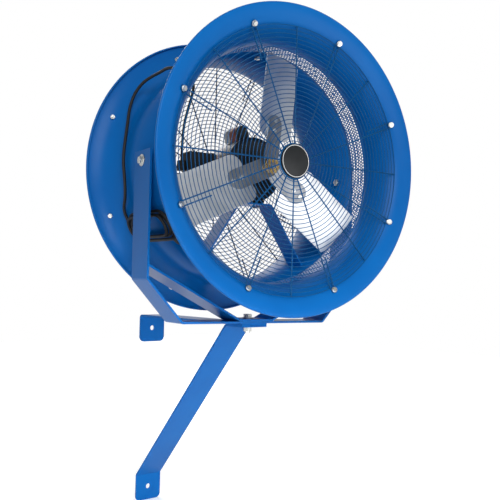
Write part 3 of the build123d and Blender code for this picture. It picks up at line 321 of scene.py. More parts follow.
# Rubber cord jacket: matt black with a dry bloom
RUBBER = Finish("rubber_jacket_black", "cord_rubber", ("#0C0D0E", "#17181A"), 25, (0.52, 0.68),
                Grain.MOULDED, 0.9, 0.04, shine=0.35)
# Mill-finish aluminium sheet: bright with fine rolling lines
MILL_ALUMINIUM = Finish("mill_aluminium", "bright_aluminium", ("#C6CACE", "#DADDE0"), 60, (0.26, 0.42),
                        Grain.BRUSHED, 1.6, 0.01, metallic=1.0)
# Die-cast aluminium: light grey with a sandy skin
CAST_ALUMINIUM = Finish("cast_aluminium", "cast_aluminium", ("#85898D", "#A0A4A8"), 15, (0.42, 0.58),
                        Grain.CAST, 1.2, 0.12, metallic=1.0)
# Plain rolled steel, oiled
GREY_STEEL = Finish("rolled_steel", "grey_steel", ("#7C8085", "#989CA1"), 30, (0.32, 0.5),
                    Grain.BRUSHED, 1.5, 0.015, metallic=1.0)
# Yellow-passivated zinc on the hub's bushing
YELLOW_ZINC = Finish("yellow_zinc", "zinc_steel", ("#A98A4C", "#C9AE72"), 10, (0.2, 0.38),
                     Grain.PLATED, 3, 0.02, metallic=1.0)
# Red-brown shrink sleeve round the capacitor
RED_SLEEVE = Finish("sleeve_red_brown", "black_enamel", ("#6B2E1C", "#8A4029"), 20, (0.4, 0.55),
                    Grain.MOULDED, 1.2, 0.03, shine=0.3)
# Laminations and windings under a red-brown baking varnish
VARNISH = Finish("varnished_laminations", "varnished_laminations", ("#5B2A18", "#7A3B22"), 18, (0.35, 0.5),
                 Grain.LAMINATED, 2.4, 0.25, coat=0.3)
# White print ink on the badge
WHITE_INK = Finish("white_ink", "black_enamel", ("#D8D9DA", "#E6E7E8"), 20, (0.45, 0.55),
                   Grain.MOULDED, 1.0, 0.01)


class Workshop:
    """Holds the built materials, and turns finished bmeshes, curves and CAD nodes into dressed pieces."""

    # Faces of the CAD's mesh that bend less than this, in degrees, are one flat face
    FLAT_BEND = 0.6
    # Edges of the CAD's parts that bend more than this, in degrees, are rounded
    EDGE_BEND = 35.0
    BEVEL_SEGMENTS = 2

    def __init__(self) -> None:
        """Starts with no material; each finish is built when it is first used."""
        self.materials: dict[Finish, bpy.types.Material] = {}

    def coat(self, thing: bpy.types.Object, finish: Finish) -> None:
        """Gives an object a finish as its only material.

        Args:
            thing: The object.
            finish: Its finish.
        """
        if finish not in self.materials:
            self.materials[finish] = finish.build()
        thing.data.materials.clear()
        thing.data.materials.append(self.materials[finish])

    def dress(self, piece: bpy.types.Object, body: str, finish: Finish,
              stands_for: Sequence[str] = ()) -> None:
        """Gives a piece its finish, its body and the CAD nodes that it stands for, and reports it.

        Args:
            piece: The object, in its place.
            body: The CAD body that it rides on.
            finish: Its finish.
            stands_for: The CAD nodes that it replaces.
        """
        self.coat(piece, finish)
        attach(piece, body)
        if stands_for:
            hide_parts(*stands_for)
        log.info("%s on %s in %s", piece.name, body, finish.name)

    def paint(self, name: str, finish: Finish) -> None:
        """Gives a CAD node that stays as it is a finish.

        Args:
            name: The CAD node's name.
            finish: Its finish.
        """
        self.coat(frame["nodes"][name], finish)
        log.info("%s stays, in %s", name, finish.name)

    def piece(self, shape: BMesh, name: str, body: str, finish: Finish,
              stands_for: Sequence[str] = (), place: Matrix = DRUM, sharp: float = 38.0) -> bpy.types.Object:
        """Turns a bmesh into a dressed piece with its place in its mesh.

        Args:
            shape: The shape, in its own frame; it is freed.
            name: The piece's name.
            body: The CAD body that it rides on.
            finish: Its finish.
            stands_for: The CAD nodes that it replaces.
            place: The frame that the shape is in.
            sharp: Edges that bend more than this angle stay crisp, in degrees.

        Returns:
            The piece.
        """
        mesh = bpy.data.meshes.new(name)
        shape.transform(place)
        shape.to_mesh(mesh)
        shape.free()
        mesh.shade_smooth()
        mesh.set_sharp_from_angle(angle=math.radians(sharp))
        thing = stand(name, mesh)
        self.dress(thing, body, finish, stands_for)
        return thing

    def soften(self, node: str, finish: Finish, radius: float) -> None:
        """Replaces a CAD node by a copy whose sharp edges are rounded as a real edge is.

        Args:
            node: The CAD node.
            finish: Its finish.
            radius: The radius of the rounded edges, in metres.
        """
        shape = bmesh.new()
        shape.from_mesh(frame["nodes"][node].data)
        bmesh.ops.remove_doubles(shape, verts=shape.verts, dist=CAD_WELD)
        bmesh.ops.dissolve_limit(shape, angle_limit=math.radians(self.FLAT_BEND), verts=shape.verts,
                                 edges=shape.edges)
        body = frame["nodes"][node]["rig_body"]
        copy = self.piece(shape, node + "_softened", body, finish, [node], Matrix.Identity(4), self.EDGE_BEND)
        bevel = copy.modifiers.new("rounded edges", "BEVEL")
        bevel.width = radius
        bevel.segments = self.BEVEL_SEGMENTS
        bevel.limit_method = "ANGLE"
        bevel.angle_limit = math.radians(self.EDGE_BEND)
        bevel.harden_normals = True
        weigh = copy.modifiers.new("flat faces", "WEIGHTED_NORMAL")
        weigh.keep_sharp = True


def verts_of(grown: Iterable) -> list[BMVert]:
    """Picks the vertices out of what a bmesh operator returns.

    Args:
        grown: The operator's vertices, edges and faces.

    Returns:
        The vertices, in the same order.
    """
    return [g for g in grown if isinstance(g, BMVert)]


def arc_of(shape: BMesh, start: BMVert, centre: Vector, angle: float, steps: int) -> BMVert:
    """Spins a vertex into an arc of edges, about Z.

    Args:
        shape: The bmesh.
        start: The arc's first vertex.
        centre: The arc's centre.
        angle: The arc's angle, in radians.
        steps: How many edges it gets.

    Returns:
        The arc's last vertex.
    """
    swept = bmesh.ops.spin(shape, geom=[start], cent=centre, axis=(0, 0, 1), angle=angle, steps=steps,
                           dvec=(0, 0, 0))
    return verts_of(swept["geom_last"])[0]


def turn_about_axis(shape: BMesh, steps: int) -> None:
    """Spins everything in a bmesh once round the drum's axis and points its faces outwards.

    Args:
        shape: The bmesh, with a line in the X and Y of the drum.
        steps: How many steps go once round.
    """
    bmesh.ops.spin(shape, geom=shape.verts[:] + shape.edges[:], cent=(0, 0, 0), axis=DRUM_AXIS,
                   angle=math.tau, steps=steps, dvec=(0, 0, 0), use_merge=True)
    bmesh.ops.remove_doubles(shape, verts=shape.verts, dist=WELD)
    bmesh.ops.recalc_face_normals(shape, faces=shape.faces)


def turned(outline: Sequence[Pair], steps: int, closed: bool = False) -> BMesh:
    """Turns a line once round the drum's axis.

    Args:
        outline: The radius and the drum's Y of each point.
        steps: How many steps go once round.
        closed: Whether the last point joins the first.

    Returns:
        The shape, in the drum's frame.
    """
    shape = bmesh.new()
    points = [shape.verts.new((radius, y, 0)) for radius, y in outline]
    for start, end in zip(points, points[1:] + points[:1] if closed else points[1:]):
        shape.edges.new((start, end))
    turn_about_axis(shape, steps)
    return shape


def merge(shape: BMesh, part: BMesh) -> None:
    """Adds one bmesh to another.

    Args:
        shape: The bmesh that grows.
        part: The bmesh that is added; it is freed.
    """
    mesh = bpy.data.meshes.new("part")
    part.to_mesh(mesh)
    part.free()
    shape.from_mesh(mesh)
    bpy.data.meshes.remove(mesh)


def face_outwards(shape: BMesh, face: bmesh.types.BMFace) -> None:
    """Points an open skin's faces away from the drum's axis.

    Args:
        shape: The skin, whose faces all point the same way.
        face: One of its faces on the barrel.
    """
    middle = face.calc_center_median()
    if face.normal.dot(Vector((middle.x, 0, middle.z))) < 0:
        bmesh.ops.reverse_faces(shape, faces=shape.faces)


def round_lines(name: str, lines: Iterable[Sequence[Vector]], kind: str, thick: float,
                fineness: int) -> bpy.types.Curve:
    """Draws round wire or cord along lines.

    Args:
        name: The curve's name.
        lines: Each line's points.
        kind: The splines' type.
        thick: The diameter.
        fineness: The curve's bevel resolution.

    Returns:
        The curve.
    """
    data = bpy.data.curves.new(name, "CURVE")
    data.dimensions = "3D"
    data.bevel_depth = thick / 2
    data.bevel_resolution = fineness
    data.use_fill_caps = True
    for line in lines:
        spline = data.splines.new(kind)
        spline.points.add(len(line) - 1)
        for point, place in zip(spline.points, line):
            point.co = (*place, 1.0)
    return data


def thicken(skin: bpy.types.Object, sheet: float) -> None:
    """Gives a skin the thickness of its sheet, outwards.

    Args:
        skin: The object.
        sheet: The thickness, in metres.
    """
    wall = skin.modifiers.new("sheet", "SOLIDIFY")
    wall.thickness = sheet
    wall.offset = 1.0


class SubAssembly:
    """One group of pieces that are made together."""

    def make(self, shop: Workshop) -> None:
        """Builds the pieces in their places.

        Args:
            shop: The workshop that dresses them.
        """
        raise NotImplementedError


@dataclass
class Bell(SubAssembly):
    """One of the drum's two flared bells, spun from one sheet with a curled lip."""

    side: Side
    throat_end: float
    throat: float = 344 * MM
    rim: float = 440 * MM
    half_depth: float = 240 * MM
    flare: float = 102 * MM
    flare_steps: int = 28
    lip: float = 5 * MM
    lip_end: float = 1.5 * math.pi
    lip_steps: int = 10
    sheet: float = 2 * MM
    around: int = 192

    def profile(self) -> BMesh:
        """Draws the air side's line in the X and Y of the drum: throat, flare and lip.

        Returns:
            The line.
        """
        shape = bmesh.new()
        way = self.side.value
        turn = math.acos(1 - (self.rim - self.lip - self.throat) / self.flare)
        start_y = way * (self.half_depth - self.flare * math.sin(turn))
        throat_end = shape.verts.new((self.throat, self.throat_end, 0))
        flare_start = shape.verts.new((self.throat, start_y, 0))
        shape.edges.new((throat_end, flare_start))
        centre = Vector((self.throat + self.flare, start_y, 0))
        flare_end = arc_of(shape, flare_start, centre, -way * turn, self.flare_steps)
        back = Vector((math.cos(turn), -way * math.sin(turn), 0)) * self.lip
        arc_of(shape, flare_end, flare_end.co + back, way * (turn - self.lip_end), self.lip_steps)
        return shape

    def make(self, shop: Workshop) -> None:
        """Spins the bell."""
        node = self.side.name.lower() + "_bell"
        shape = self.profile()
        turn_about_axis(shape, self.around)
        face_outwards(shape, min(shape.faces, key=lambda f: abs(f.calc_center_median().y - self.throat_end)))
        thicken(shop.piece(shape, node + "_spun", "housing", BLUE_ENAMEL, [node], sharp=50), self.sheet)


@dataclass
class PerforatedBand(SubAssembly):
    """The barrel's perforated band: round holes in staggered rows, welded between the bells."""

    radius: float = 344 * MM
    sheet: float = 1.2 * MM
    front: float = -133 * MM
    back: float = -65 * MM
    hole: float = 7.2 * MM
    hole_sides: int = 8
    columns: int = 228
    rows: int = 7

    def cell(self, shape: BMesh, pitch: float, height: float, shift: Vector) -> None:
        """Punches one hole in its oblong of sheet, flat, with X round the barrel and Y along it.

        Args:
            shape: The bmesh that the cell goes into.
            pitch: The cell's width.
            height: The cell's height.
            shift: The place of the cell's middle.
        """
        hole = bmesh.ops.create_circle(shape, segments=self.hole_sides, radius=self.hole / 2)["verts"]
        edges = list({e for v in hole for e in v.link_edges})
        outer = verts_of(bmesh.ops.extrude_edge_only(shape, edges=edges)["geom"])
        # 2.5 turns the place of each of the hole's eight corners into -1, 0 or 1 across and along
        for vert in outer:
            across = round(vert.co.x / self.hole * 2.5)
            along = round(vert.co.y / self.hole * 2.5)
            vert.co.x = math.copysign(pitch / 2, across) if across else 0.0
            vert.co.y = math.copysign(height / 2, along) if along else 0.0
        bmesh.ops.translate(shape, verts=hole + outer, vec=shift)

    def plain_edges(self, shape: BMesh, middle: float, half: float) -> None:
        """Adds the unpunched strips between the outer rows and the bells.

        Args:
            shape: The column of cells.
            middle: The Y of the column's middle.
            half: Half of the column's length.
        """
        for edge_y, end in ((middle - half, self.front), (middle + half, self.back)):
            rim = [e for e in shape.edges if all(abs(v.co.y - edge_y) < 10 * WELD for v in e.verts)]
            for vert in verts_of(bmesh.ops.extrude_edge_only(shape, edges=rim)["geom"]):
                vert.co.y = end

    def make(self, shop: Workshop) -> None:
        """Punches one staggered column of holes, bends it, and arrays it round the barrel."""
        pitch = math.tau * self.radius / self.columns
        row_height = pitch * math.sin(math.radians(60))
        middle = (self.front + self.back) / 2
        shape = bmesh.new()
        for row in range(self.rows):
            along = middle + (row - (self.rows - 1) / 2) * row_height
            self.cell(shape, pitch, row_height, Vector(((row % 2) * pitch / 2, along, 0)))
        bmesh.ops.remove_doubles(shape, verts=shape.verts, dist=WELD)
        self.plain_edges(shape, middle, self.rows * row_height / 2)
        for vert in shape.verts:
            angle = vert.co.x / self.radius
            vert.co.x, vert.co.z = self.radius * math.sin(angle), self.radius * math.cos(angle)
        bmesh.ops.spin(shape, geom=shape.verts[:] + shape.edges[:] + shape.faces[:], cent=(0, 0, 0),
                       axis=DRUM_AXIS, angle=math.tau * (self.columns - 1) / self.columns,
                       steps=self.columns - 1, dvec=(0, 0, 0), use_duplicate=True)
        bmesh.ops.remove_doubles(shape, verts=shape.verts, dist=BAND_WELD)
        bmesh.ops.recalc_face_normals(shape, faces=shape.faces)
        face_outwards(shape, next(iter(shape.faces)))
        band = shop.piece(shape, "perforated_band_punched", "housing", BLUE_ENAMEL, ["perforated_band"],
                          sharp=60)
        thicken(band, self.sheet)


@dataclass
class Guard(SubAssembly):
    """A wire guard: rings welded to radial spokes, every second spoke hooked round a bolt in the bell."""

    side: Side
    finish: Finish
    ring_wire: float = 2.3 * MM
    spoke_wire: float = 4.0 * MM
    wire_sides: int = 8
    ring_count: int = 28
    outer_ring: float = 381 * MM
    ring_pitch: float = 12 * MM
    spoke_y: float = 221.87 * MM
    spoke_pairs: int = 8
    hook_radius: float = 382.24 * MM
    hook_half_width: float = 7 * MM
    hook_bend: float = 10 * MM
    hook_return: float = 92 * MM
    before_bend: float = 6 * MM
    after_bend: float = 4 * MM
    bell_slope: float = math.radians(58.03)
    spoke_start: float = 46 * MM
    plate_radius: float = 52 * MM
    plate_thick: float = 3 * MM
    plate_chamfer: float = 1 * MM
    plate_sides: int = 64

    def rings(self) -> BMesh:
        """Spins one small circle for each ring.

        Returns:
            The rings, in the drum's frame.
        """
        shape = bmesh.new()
        y = self.side.value * (self.spoke_y + self.spoke_wire / 2 + self.ring_wire / 2)
        for k in range(self.ring_count):
            radius = self.outer_ring - k * self.ring_pitch
            one = bmesh.new()
            bmesh.ops.create_circle(one, segments=self.wire_sides, radius=self.ring_wire / 2)
            bmesh.ops.translate(one, verts=one.verts, vec=(radius, y, 0))
            # Wider rings get more steps, so that all of them look round
            turn_about_axis(one, 48 + int(radius * 160))
            merge(shape, one)
        return shape

    def hooked(self, out: Vector) -> list[Vector]:
        """The line of a hooked spoke: out past its bolt, round it in the bell's slope, and back.

        Args:
            out: The spoke's direction from the middle.

        Returns:
            The line's points, in the drum's frame.
        """
        across = out.cross(DRUM_AXIS)
        level = Vector((0, self.side.value * self.spoke_y, 0))
        slope = out * math.sin(self.bell_slope) + Vector((0, self.side.value * math.cos(self.bell_slope), 0))
        bend = level + out * self.hook_radius
        half = self.hook_half_width
        points = [level + out * self.spoke_start - across * half,
                  bend - out * self.before_bend - across * half,
                  bend + slope * self.after_bend - across * half]
        for turn in map(math.radians, range(0, 181, 30)):
            reach = self.hook_bend + half * math.sin(turn)
            points.append(bend + slope * reach - across * half * math.cos(turn))
        points += [bend + slope * self.after_bend + across * half,
                   bend - out * self.before_bend + across * half,
                   level + out * (self.hook_radius - self.hook_return) + across * half]
        return points

    def wires(self, lines: Iterable[Sequence[Vector]]) -> BMesh:
        """Draws the spokes' wire along lines.

        Args:
            lines: Each wire's points, in the drum's frame.

        Returns:
            The wires in one bmesh.
        """
        drawn = bpy.data.objects.new("wires", round_lines("wires", lines, "POLY", self.spoke_wire, 2))
        mesh = bpy.data.meshes.new_from_object(drawn)
        shape = bmesh.new()
        shape.from_mesh(mesh)
        bpy.data.objects.remove(drawn)
        bpy.data.meshes.remove(mesh)
        return shape

    def spokes(self) -> BMesh:
        """Bends the spokes from round wire and adds the plate that they meet on.

        Returns:
            The spokes and the plate, in the drum's frame.
        """
        angles = [math.tau * k / self.spoke_pairs for k in range(self.spoke_pairs)]
        half_step = math.pi / self.spoke_pairs
        ways = [[Vector((math.sin(a), 0, math.cos(a))) for a in row]
                for row in ([a + half_step for a in angles], angles)]
        level = Vector((0, self.side.value * self.spoke_y, 0))
        straight = [(level + out * self.spoke_start, level + out * (self.outer_ring + self.ring_wire / 2))
                    for out in ways[1]]
        shape = self.wires([self.hooked(out) for out in ways[0]] + straight)
        outer_y = self.side.value * (self.spoke_y + self.spoke_wire / 2)
        inner_y = outer_y - self.side.value * self.plate_thick
        step = self.side.value * self.plate_chamfer
        flat = self.plate_radius - self.plate_chamfer
        edge = self.plate_radius
        merge(shape, turned(((0, inner_y), (flat, inner_y), (edge, inner_y + step), (edge, outer_y - step),
                             (flat, outer_y), (0, outer_y)), self.plate_sides))
        return shape

    def make(self, shop: Workshop) -> None:
        """Builds the guard."""
        for kind, shaped, sharp in (("_guard_rings", self.rings, 80), ("_guard_spokes", self.spokes, 50)):
            node = self.side.name.lower() + kind
            shop.piece(shaped(), node + "_wire", "housing", self.finish, [node], sharp=sharp)


@dataclass
class Badge(SubAssembly):
    """The plain round badge in the middle of the front guard: a dark disc with a thin pale ring."""

    radius: float = 48 * MM
    back: float = -224.12 * MM
    front: float = -230.12 * MM
    shoulder: float = 2 * MM
    corner: float = 0.6 * MM
    dish: float = 0.2 * MM
    ring_radius: float = 45.6 * MM
    ring_width: float = 1.7 * MM
    ring_lift: float = 0.15 * MM
    ring_root: float = 0.3 * MM
    around: int = 96

    def make(self, shop: Workshop) -> None:
        """Turns the disc and its printed ring."""
        disc = turned(((0, self.back), (self.radius, self.back), (self.radius, self.front + self.shoulder),
                       (self.radius - self.corner, self.front + self.corner),
                       (self.radius - self.shoulder, self.front), (0, self.front + self.dish)), self.around)
        shop.piece(disc, "guard_badge_disc", "housing", BLACK_ENAMEL, ["guard_badge"], sharp=30)
        inner = self.ring_radius - self.ring_width
        root = self.front + self.ring_root
        lift = self.front - self.ring_lift
        ring = turned(((inner, root), (inner, lift), (self.ring_radius, lift), (self.ring_radius, root)),
                      self.around, closed=True)
        shop.piece(ring, "guard_badge_ring", "housing", WHITE_INK, sharp=30)


@dataclass
class Capacitor(SubAssembly):
    """The capacitor on the motor's shoulder: a black front cap, a red-brown sleeve and a grey rear cap."""

    angle: float = math.radians(342)
    reach: float = 116 * MM
    radius: float = 22 * MM
    motor_radius: float = 98.05 * MM
    edge: float = 1.2 * MM
    sections: tuple[tuple[str, Finish, float, float, float], ...] = (
        ("capacitor_front_cap", BLACK_ENAMEL, -2 * MM, 4 * MM, 0.0),
        ("capacitor_sleeve", RED_SLEEVE, 4 * MM, 41 * MM, 0.6 * MM),
        ("capacitor_rear_cap", CAST_ALUMINIUM, 41 * MM, 72 * MM, 0.0))

    def outline(self, inset: float) -> list[Pair]:
        """The section's line across and out from the motor: round on top, and saddled on the motor below.

        Args:
            inset: How much smaller than the caps the section is.

        Returns:
            The line's points, once round.
        """
        radius = self.radius - inset
        half = math.asin(radius / self.motor_radius)
        top = [(radius * math.cos(math.radians(a)), self.reach + radius * math.sin(math.radians(a)))
               for a in range(0, 181, 12)]
        saddle = [(self.motor_radius * math.sin(half * k / 4), self.motor_radius * math.cos(half * k / 4))
                  for k in range(-4, 5)]
        return top + saddle

    def make(self, shop: Workshop) -> None:
        """Builds the three sections from front to back."""
        place = DRUM @ Matrix.Rotation(self.angle, 4, "Y")
        for name, finish, front, back, inset in self.sections:
            shape = bmesh.new()
            face = shape.faces.new([shape.verts.new((x, front, z)) for x, z in self.outline(inset)])
            moved = verts_of(bmesh.ops.extrude_face_region(shape, geom=[face])["geom"])
            bmesh.ops.translate(shape, verts=moved, vec=(0, back - front, 0))
            ends = [e for e in shape.edges if abs(e.verts[0].co.y - e.verts[1].co.y) < WELD]
            bmesh.ops.bevel(shape, geom=ends, offset=self.edge, segments=2, profile=0.5, affect="EDGES")
            bmesh.ops.recalc_face_normals(shape, faces=shape.faces)
            shop.piece(shape, name, "housing", finish, ["capacitor_cover"], place, 40)


@dataclass
class HubBushing(SubAssembly):
    """The bushing that clamps the spider to the shaft: a stepped steel sleeve with a grub screw."""

    profile_mm: tuple[Pair, ...] = (
        (9.7, -116.4), (22.5, -116.4), (24.4, -114.5), (24.4, -104.0), (19.0, -103.2), (19.0, -92.0),
        (24.4, -91.2), (24.4, -82.0), (22.5, -80.1), (9.7, -80.1))
    around: int = 64
    screw_radius: float = 3.2 * MM
    screw_length: float = 3 * MM
    screw_sides: int = 20
    screw_angle: float = math.radians(215)
    screw_place: Triple = (0, -109 * MM, 24.4 * MM)

    def make(self, shop: Workshop) -> None:
        """Turns the sleeve and sets the grub screw."""
        sleeve = turned([(radius * MM, y * MM) for radius, y in self.profile_mm], self.around)
        shop.piece(sleeve, "hub_bushing", "rotor", YELLOW_ZINC, sharp=30)
        screw = bmesh.new()
        bmesh.ops.create_cone(screw, cap_ends=True, segments=self.screw_sides, radius1=self.screw_radius,
                              radius2=self.screw_radius, depth=self.screw_length)
        seat = Matrix.Rotation(self.screw_angle, 4, "Y") @ Matrix.Translation(self.screw_place)
        shop.piece(screw, "hub_grub_screw", "rotor", GREY_STEEL, place=DRUM @ seat, sharp=30)


@dataclass
class Cords(SubAssembly):
    """The power cord with its tied hank, and the cable inside the barrel, in the drum's frame.

    The hank is a flat spiral of seven long runs: four against the barrel and three on top of them.
    """

    cord_thick: float = 9.4 * MM
    cable_thick: float = 8.0 * MM
    hank_angle: float = math.radians(239)
    hank_radius: float = 361 * MM
    hank_y: float = 50 * MM
    half_run: float = 80 * MM
    first_turn: float = 48 * MM
    inward_turns: int = 4
    pitch: float = 12 * MM
    lead: float = 10 * MM
    run_in: float = 45 * MM
    tail: float = 58 * MM
    eighth: float = math.tan(math.radians(22.5))
    route: tuple[Triple, ...] = (
        (-267.5, -38, 249.5), (-282.0, -18.2, 263.0), (-288.2, 14, 268.7), (-285.8, 62, 267.5),
        (-284.6, 112, 268.0), (-295.9, 154, 257.2), (-312.3, 178, 226.9), (-327.1, 182, 181.3),
        (-338.5, 168, 126.1), (-351.4, 154, 68.3), (-357.8, 150, 12.5), (-355.7, 140, -40.5),
        (-348.5, 146, -95.2))
    inside: tuple[Triple, ...] = (
        (-253.05, -55, 235.97), (-235.49, -55, 219.6), (-229, -38, 196), (-226, -8, 160), (-222, 26, 116),
        (-216, 46, 56), (-216, 46, 12))

    def in_hank(self, x: float, down: float, out: float) -> Vector:
        """A point of the hank.

        Args:
            x: How far to the back it is from the hank's middle.
            down: How far down round the barrel.
            out: How far out from the barrel.

        Returns:
            The point, in the drum's frame.
        """
        radial = Vector((math.sin(self.hank_angle), 0, math.cos(self.hank_angle)))
        origin = radial * self.hank_radius + Vector((0, self.hank_y, 0))
        return origin + Vector((0, x, 0)) + radial.cross(DRUM_AXIS) * down + radial * out

    def half_turn(self, end: float, a: float, b: float, low: float, high: float) -> list[Vector]:
        """One end of the hank: four points round it.

        Args:
            end: The X at which the runs end.
            a: The offset of the run that comes in.
            b: The offset of the run that goes out.
            low: The height of the run that comes in.
            high: The height of the run that goes out.

        Returns:
            The points, in the drum's frame.
        """
        radius = math.hypot((b - a) / 2, (high - low) / 2)
        near = radius * self.eighth
        outward = math.copysign(1, end)
        share = self.eighth / 2
        steps = ((near, 0.0), (radius, 0.5 - share), (radius, 0.5 + share), (near, 1.0))
        return [self.in_hank(end + outward * reach, a + (b - a) * t, low + (high - low) * t)
                for reach, t in steps]

    def hank(self) -> list[Vector]:
        """The hank: it spirals in against the barrel, climbs a layer and spirals out to its plug.

        Returns:
            The hank's points, in the drum's frame.
        """
        turns = [self.first_turn - k * self.pitch / 2 for k in range(self.inward_turns)]
        entry = turns[0] + self.pitch / 4
        drop = turns[0] - entry
        near = entry * self.eighth
        far = self.half_run
        points = [self.in_hank(far + entry, drop - self.lead - self.run_in, 0),
                  self.in_hank(far + entry, drop - self.lead, 0),
                  self.in_hank(far + entry, drop + near, 0),
                  self.in_hank(far + near, drop + entry, 0)]
        runs = [(r, 0.0) for r in turns] + [(r, self.pitch) for r in reversed(turns[1:])]
        for k, (offset, layer) in enumerate(runs):
            side = 1 if k % 2 == 0 else -1
            points += [self.in_hank(side * far / 2, side * offset, layer),
                       self.in_hank(-side * far / 2, side * offset, layer)]
            if k == len(runs) - 1:
                points.append(self.in_hank(-side * far - self.tail, side * offset, layer))
            else:
                following, above = runs[k + 1]
                points += self.half_turn(-side * far, side * offset, -side * following, layer, above)
        return points

    def line(self, name: str, points: Iterable[Vector], thick: float) -> bpy.types.Object:
        """Makes a cord as a smooth curve with the points as its control points.

        Args:
            name: The piece's name.
            points: The route, in the drum's frame.
            thick: The cord's diameter.

        Returns:
            The curve.
        """
        data = round_lines(name, [[DRUM @ p for p in points]], "NURBS", thick, 4)
        data.resolution_u = 8
        data.splines[0].order_u = 3
        data.splines[0].use_endpoint_u = True
        return stand(name, data)

    def make(self, shop: Workshop) -> None:
        """Lays the power cord from its gland to its plug, and the cable from the barrel to its box."""
        free = [Vector(p) * MM for p in self.route] + self.hank()
        cord = self.line("power_cord_line", free, self.cord_thick)
        shop.dress(cord, "housing", RUBBER, ["power_cord", "cord_coil"])
        inner = [Vector(p) * MM for p in self.inside]
        cable = self.line("inner_cable_line", inner, self.cable_thick)
        shop.dress(cable, "housing", RUBBER, ["inner_cable"])


@dataclass
class Hardware(SubAssembly):
    """The bars, fastenings and motor, kept from the CAD with their edges rounded as the real ones are.

    Attributes:
        edges: A finish, the radius of the edges in millimetres, and the CAD nodes that have them.
        kept: The sealed CAD nodes, in grey steel, that stay as they are.
    """

    edges: tuple[tuple[Finish, float, tuple[str, ...]], ...] = (
        (BLUE_ENAMEL, 0.8, ("wall_arm", "wall_brace", "yoke_strap", "yoke_brace")),
        (BLUE_ENAMEL, 0.6, ("motor_bracket",)),
        (ZINC, 0.5, ("pivot_bolt",)), (ZINC, 0.3, ("pivot_washer",)),
        (ZINC, 0.5, ("pivot_nut", "tilt_bolts")), (ZINC, 0.3, ("tilt_washers",)),
        (ZINC, 0.5, ("tilt_nuts",)), (BLACK_NYLON, 0.8, ("tilt_spacers",)),
        (ZINC, 0.4, ("front_guard_bolts", "front_guard_nuts", "rear_guard_bolts", "rear_guard_nuts",
                     "motor_foot_bolts")),
        (ZINC, 0.5, ("hanger_bolt", "hanger_nut", "blade_rivets")),
        (BLACK_ENAMEL, 1.5, ("motor_front_bell",)), (BLACK_ENAMEL, 0.8, ("motor_shell", "motor_foot")),
        (BLACK_NYLON, 1.0, ("terminal_box", "cable_elbow")), (BLACK_NYLON, 0.5, ("box_neck",)),
        (BLACK_NYLON, 0.8, ("cord_gland",)), (BLACK_NYLON, 0.5, ("cord_plug",)),
        (BLACK_NYLON, 0.3, ("cord_tie",)), (MILL_ALUMINIUM, 0.4, ("blade_1", "blade_2", "blade_3")),
        (CAST_ALUMINIUM, 1.5, ("motor_rear_bell",)), (GREY_STEEL, 0.6, ("spider",)),
        (GREY_STEEL, 0.3, ("motor_shaft",)), (VARNISH, 0.8, ("stator_core",)))
    kept: tuple[str, ...] = ("rotor_core", "front_bearing", "rear_bearing")

    def make(self, shop: Workshop) -> None:
        """Softens each part's edges, and paints the sealed pieces that stay."""
        for finish, radius, nodes in self.edges:
            for node in nodes:
                shop.soften(node, finish, radius * MM)
        for node in self.kept:
            shop.paint(node, GREY_STEEL)


@dataclass(frozen=True)
class Lamp:
    """One soft square lamp.

    Attributes:
        name: The lamp's name.
        place: Where it hangs.
        size: The length of its side.
        power: Its power, in watts.
        aim: The point that it faces.
        spread: The angle that its light fans out over.
    """

    name: str
    place: Triple
    size: float
    power: float
    aim: Triple = tuple(DRUM_MIDDLE)
    spread: float = math.pi

    def hang(self) -> None:
        """Hangs the lamp in the scene."""
        data = bpy.data.lights.new(self.name, "AREA")
        data.size = self.size
        data.energy = self.power
        data.spread = self.spread
        lamp = stand(self.name, data)
        lamp.location = self.place
        lamp.rotation_euler = (Vector(self.aim) - Vector(self.place)).to_track_quat("-Z", "Y").to_euler()


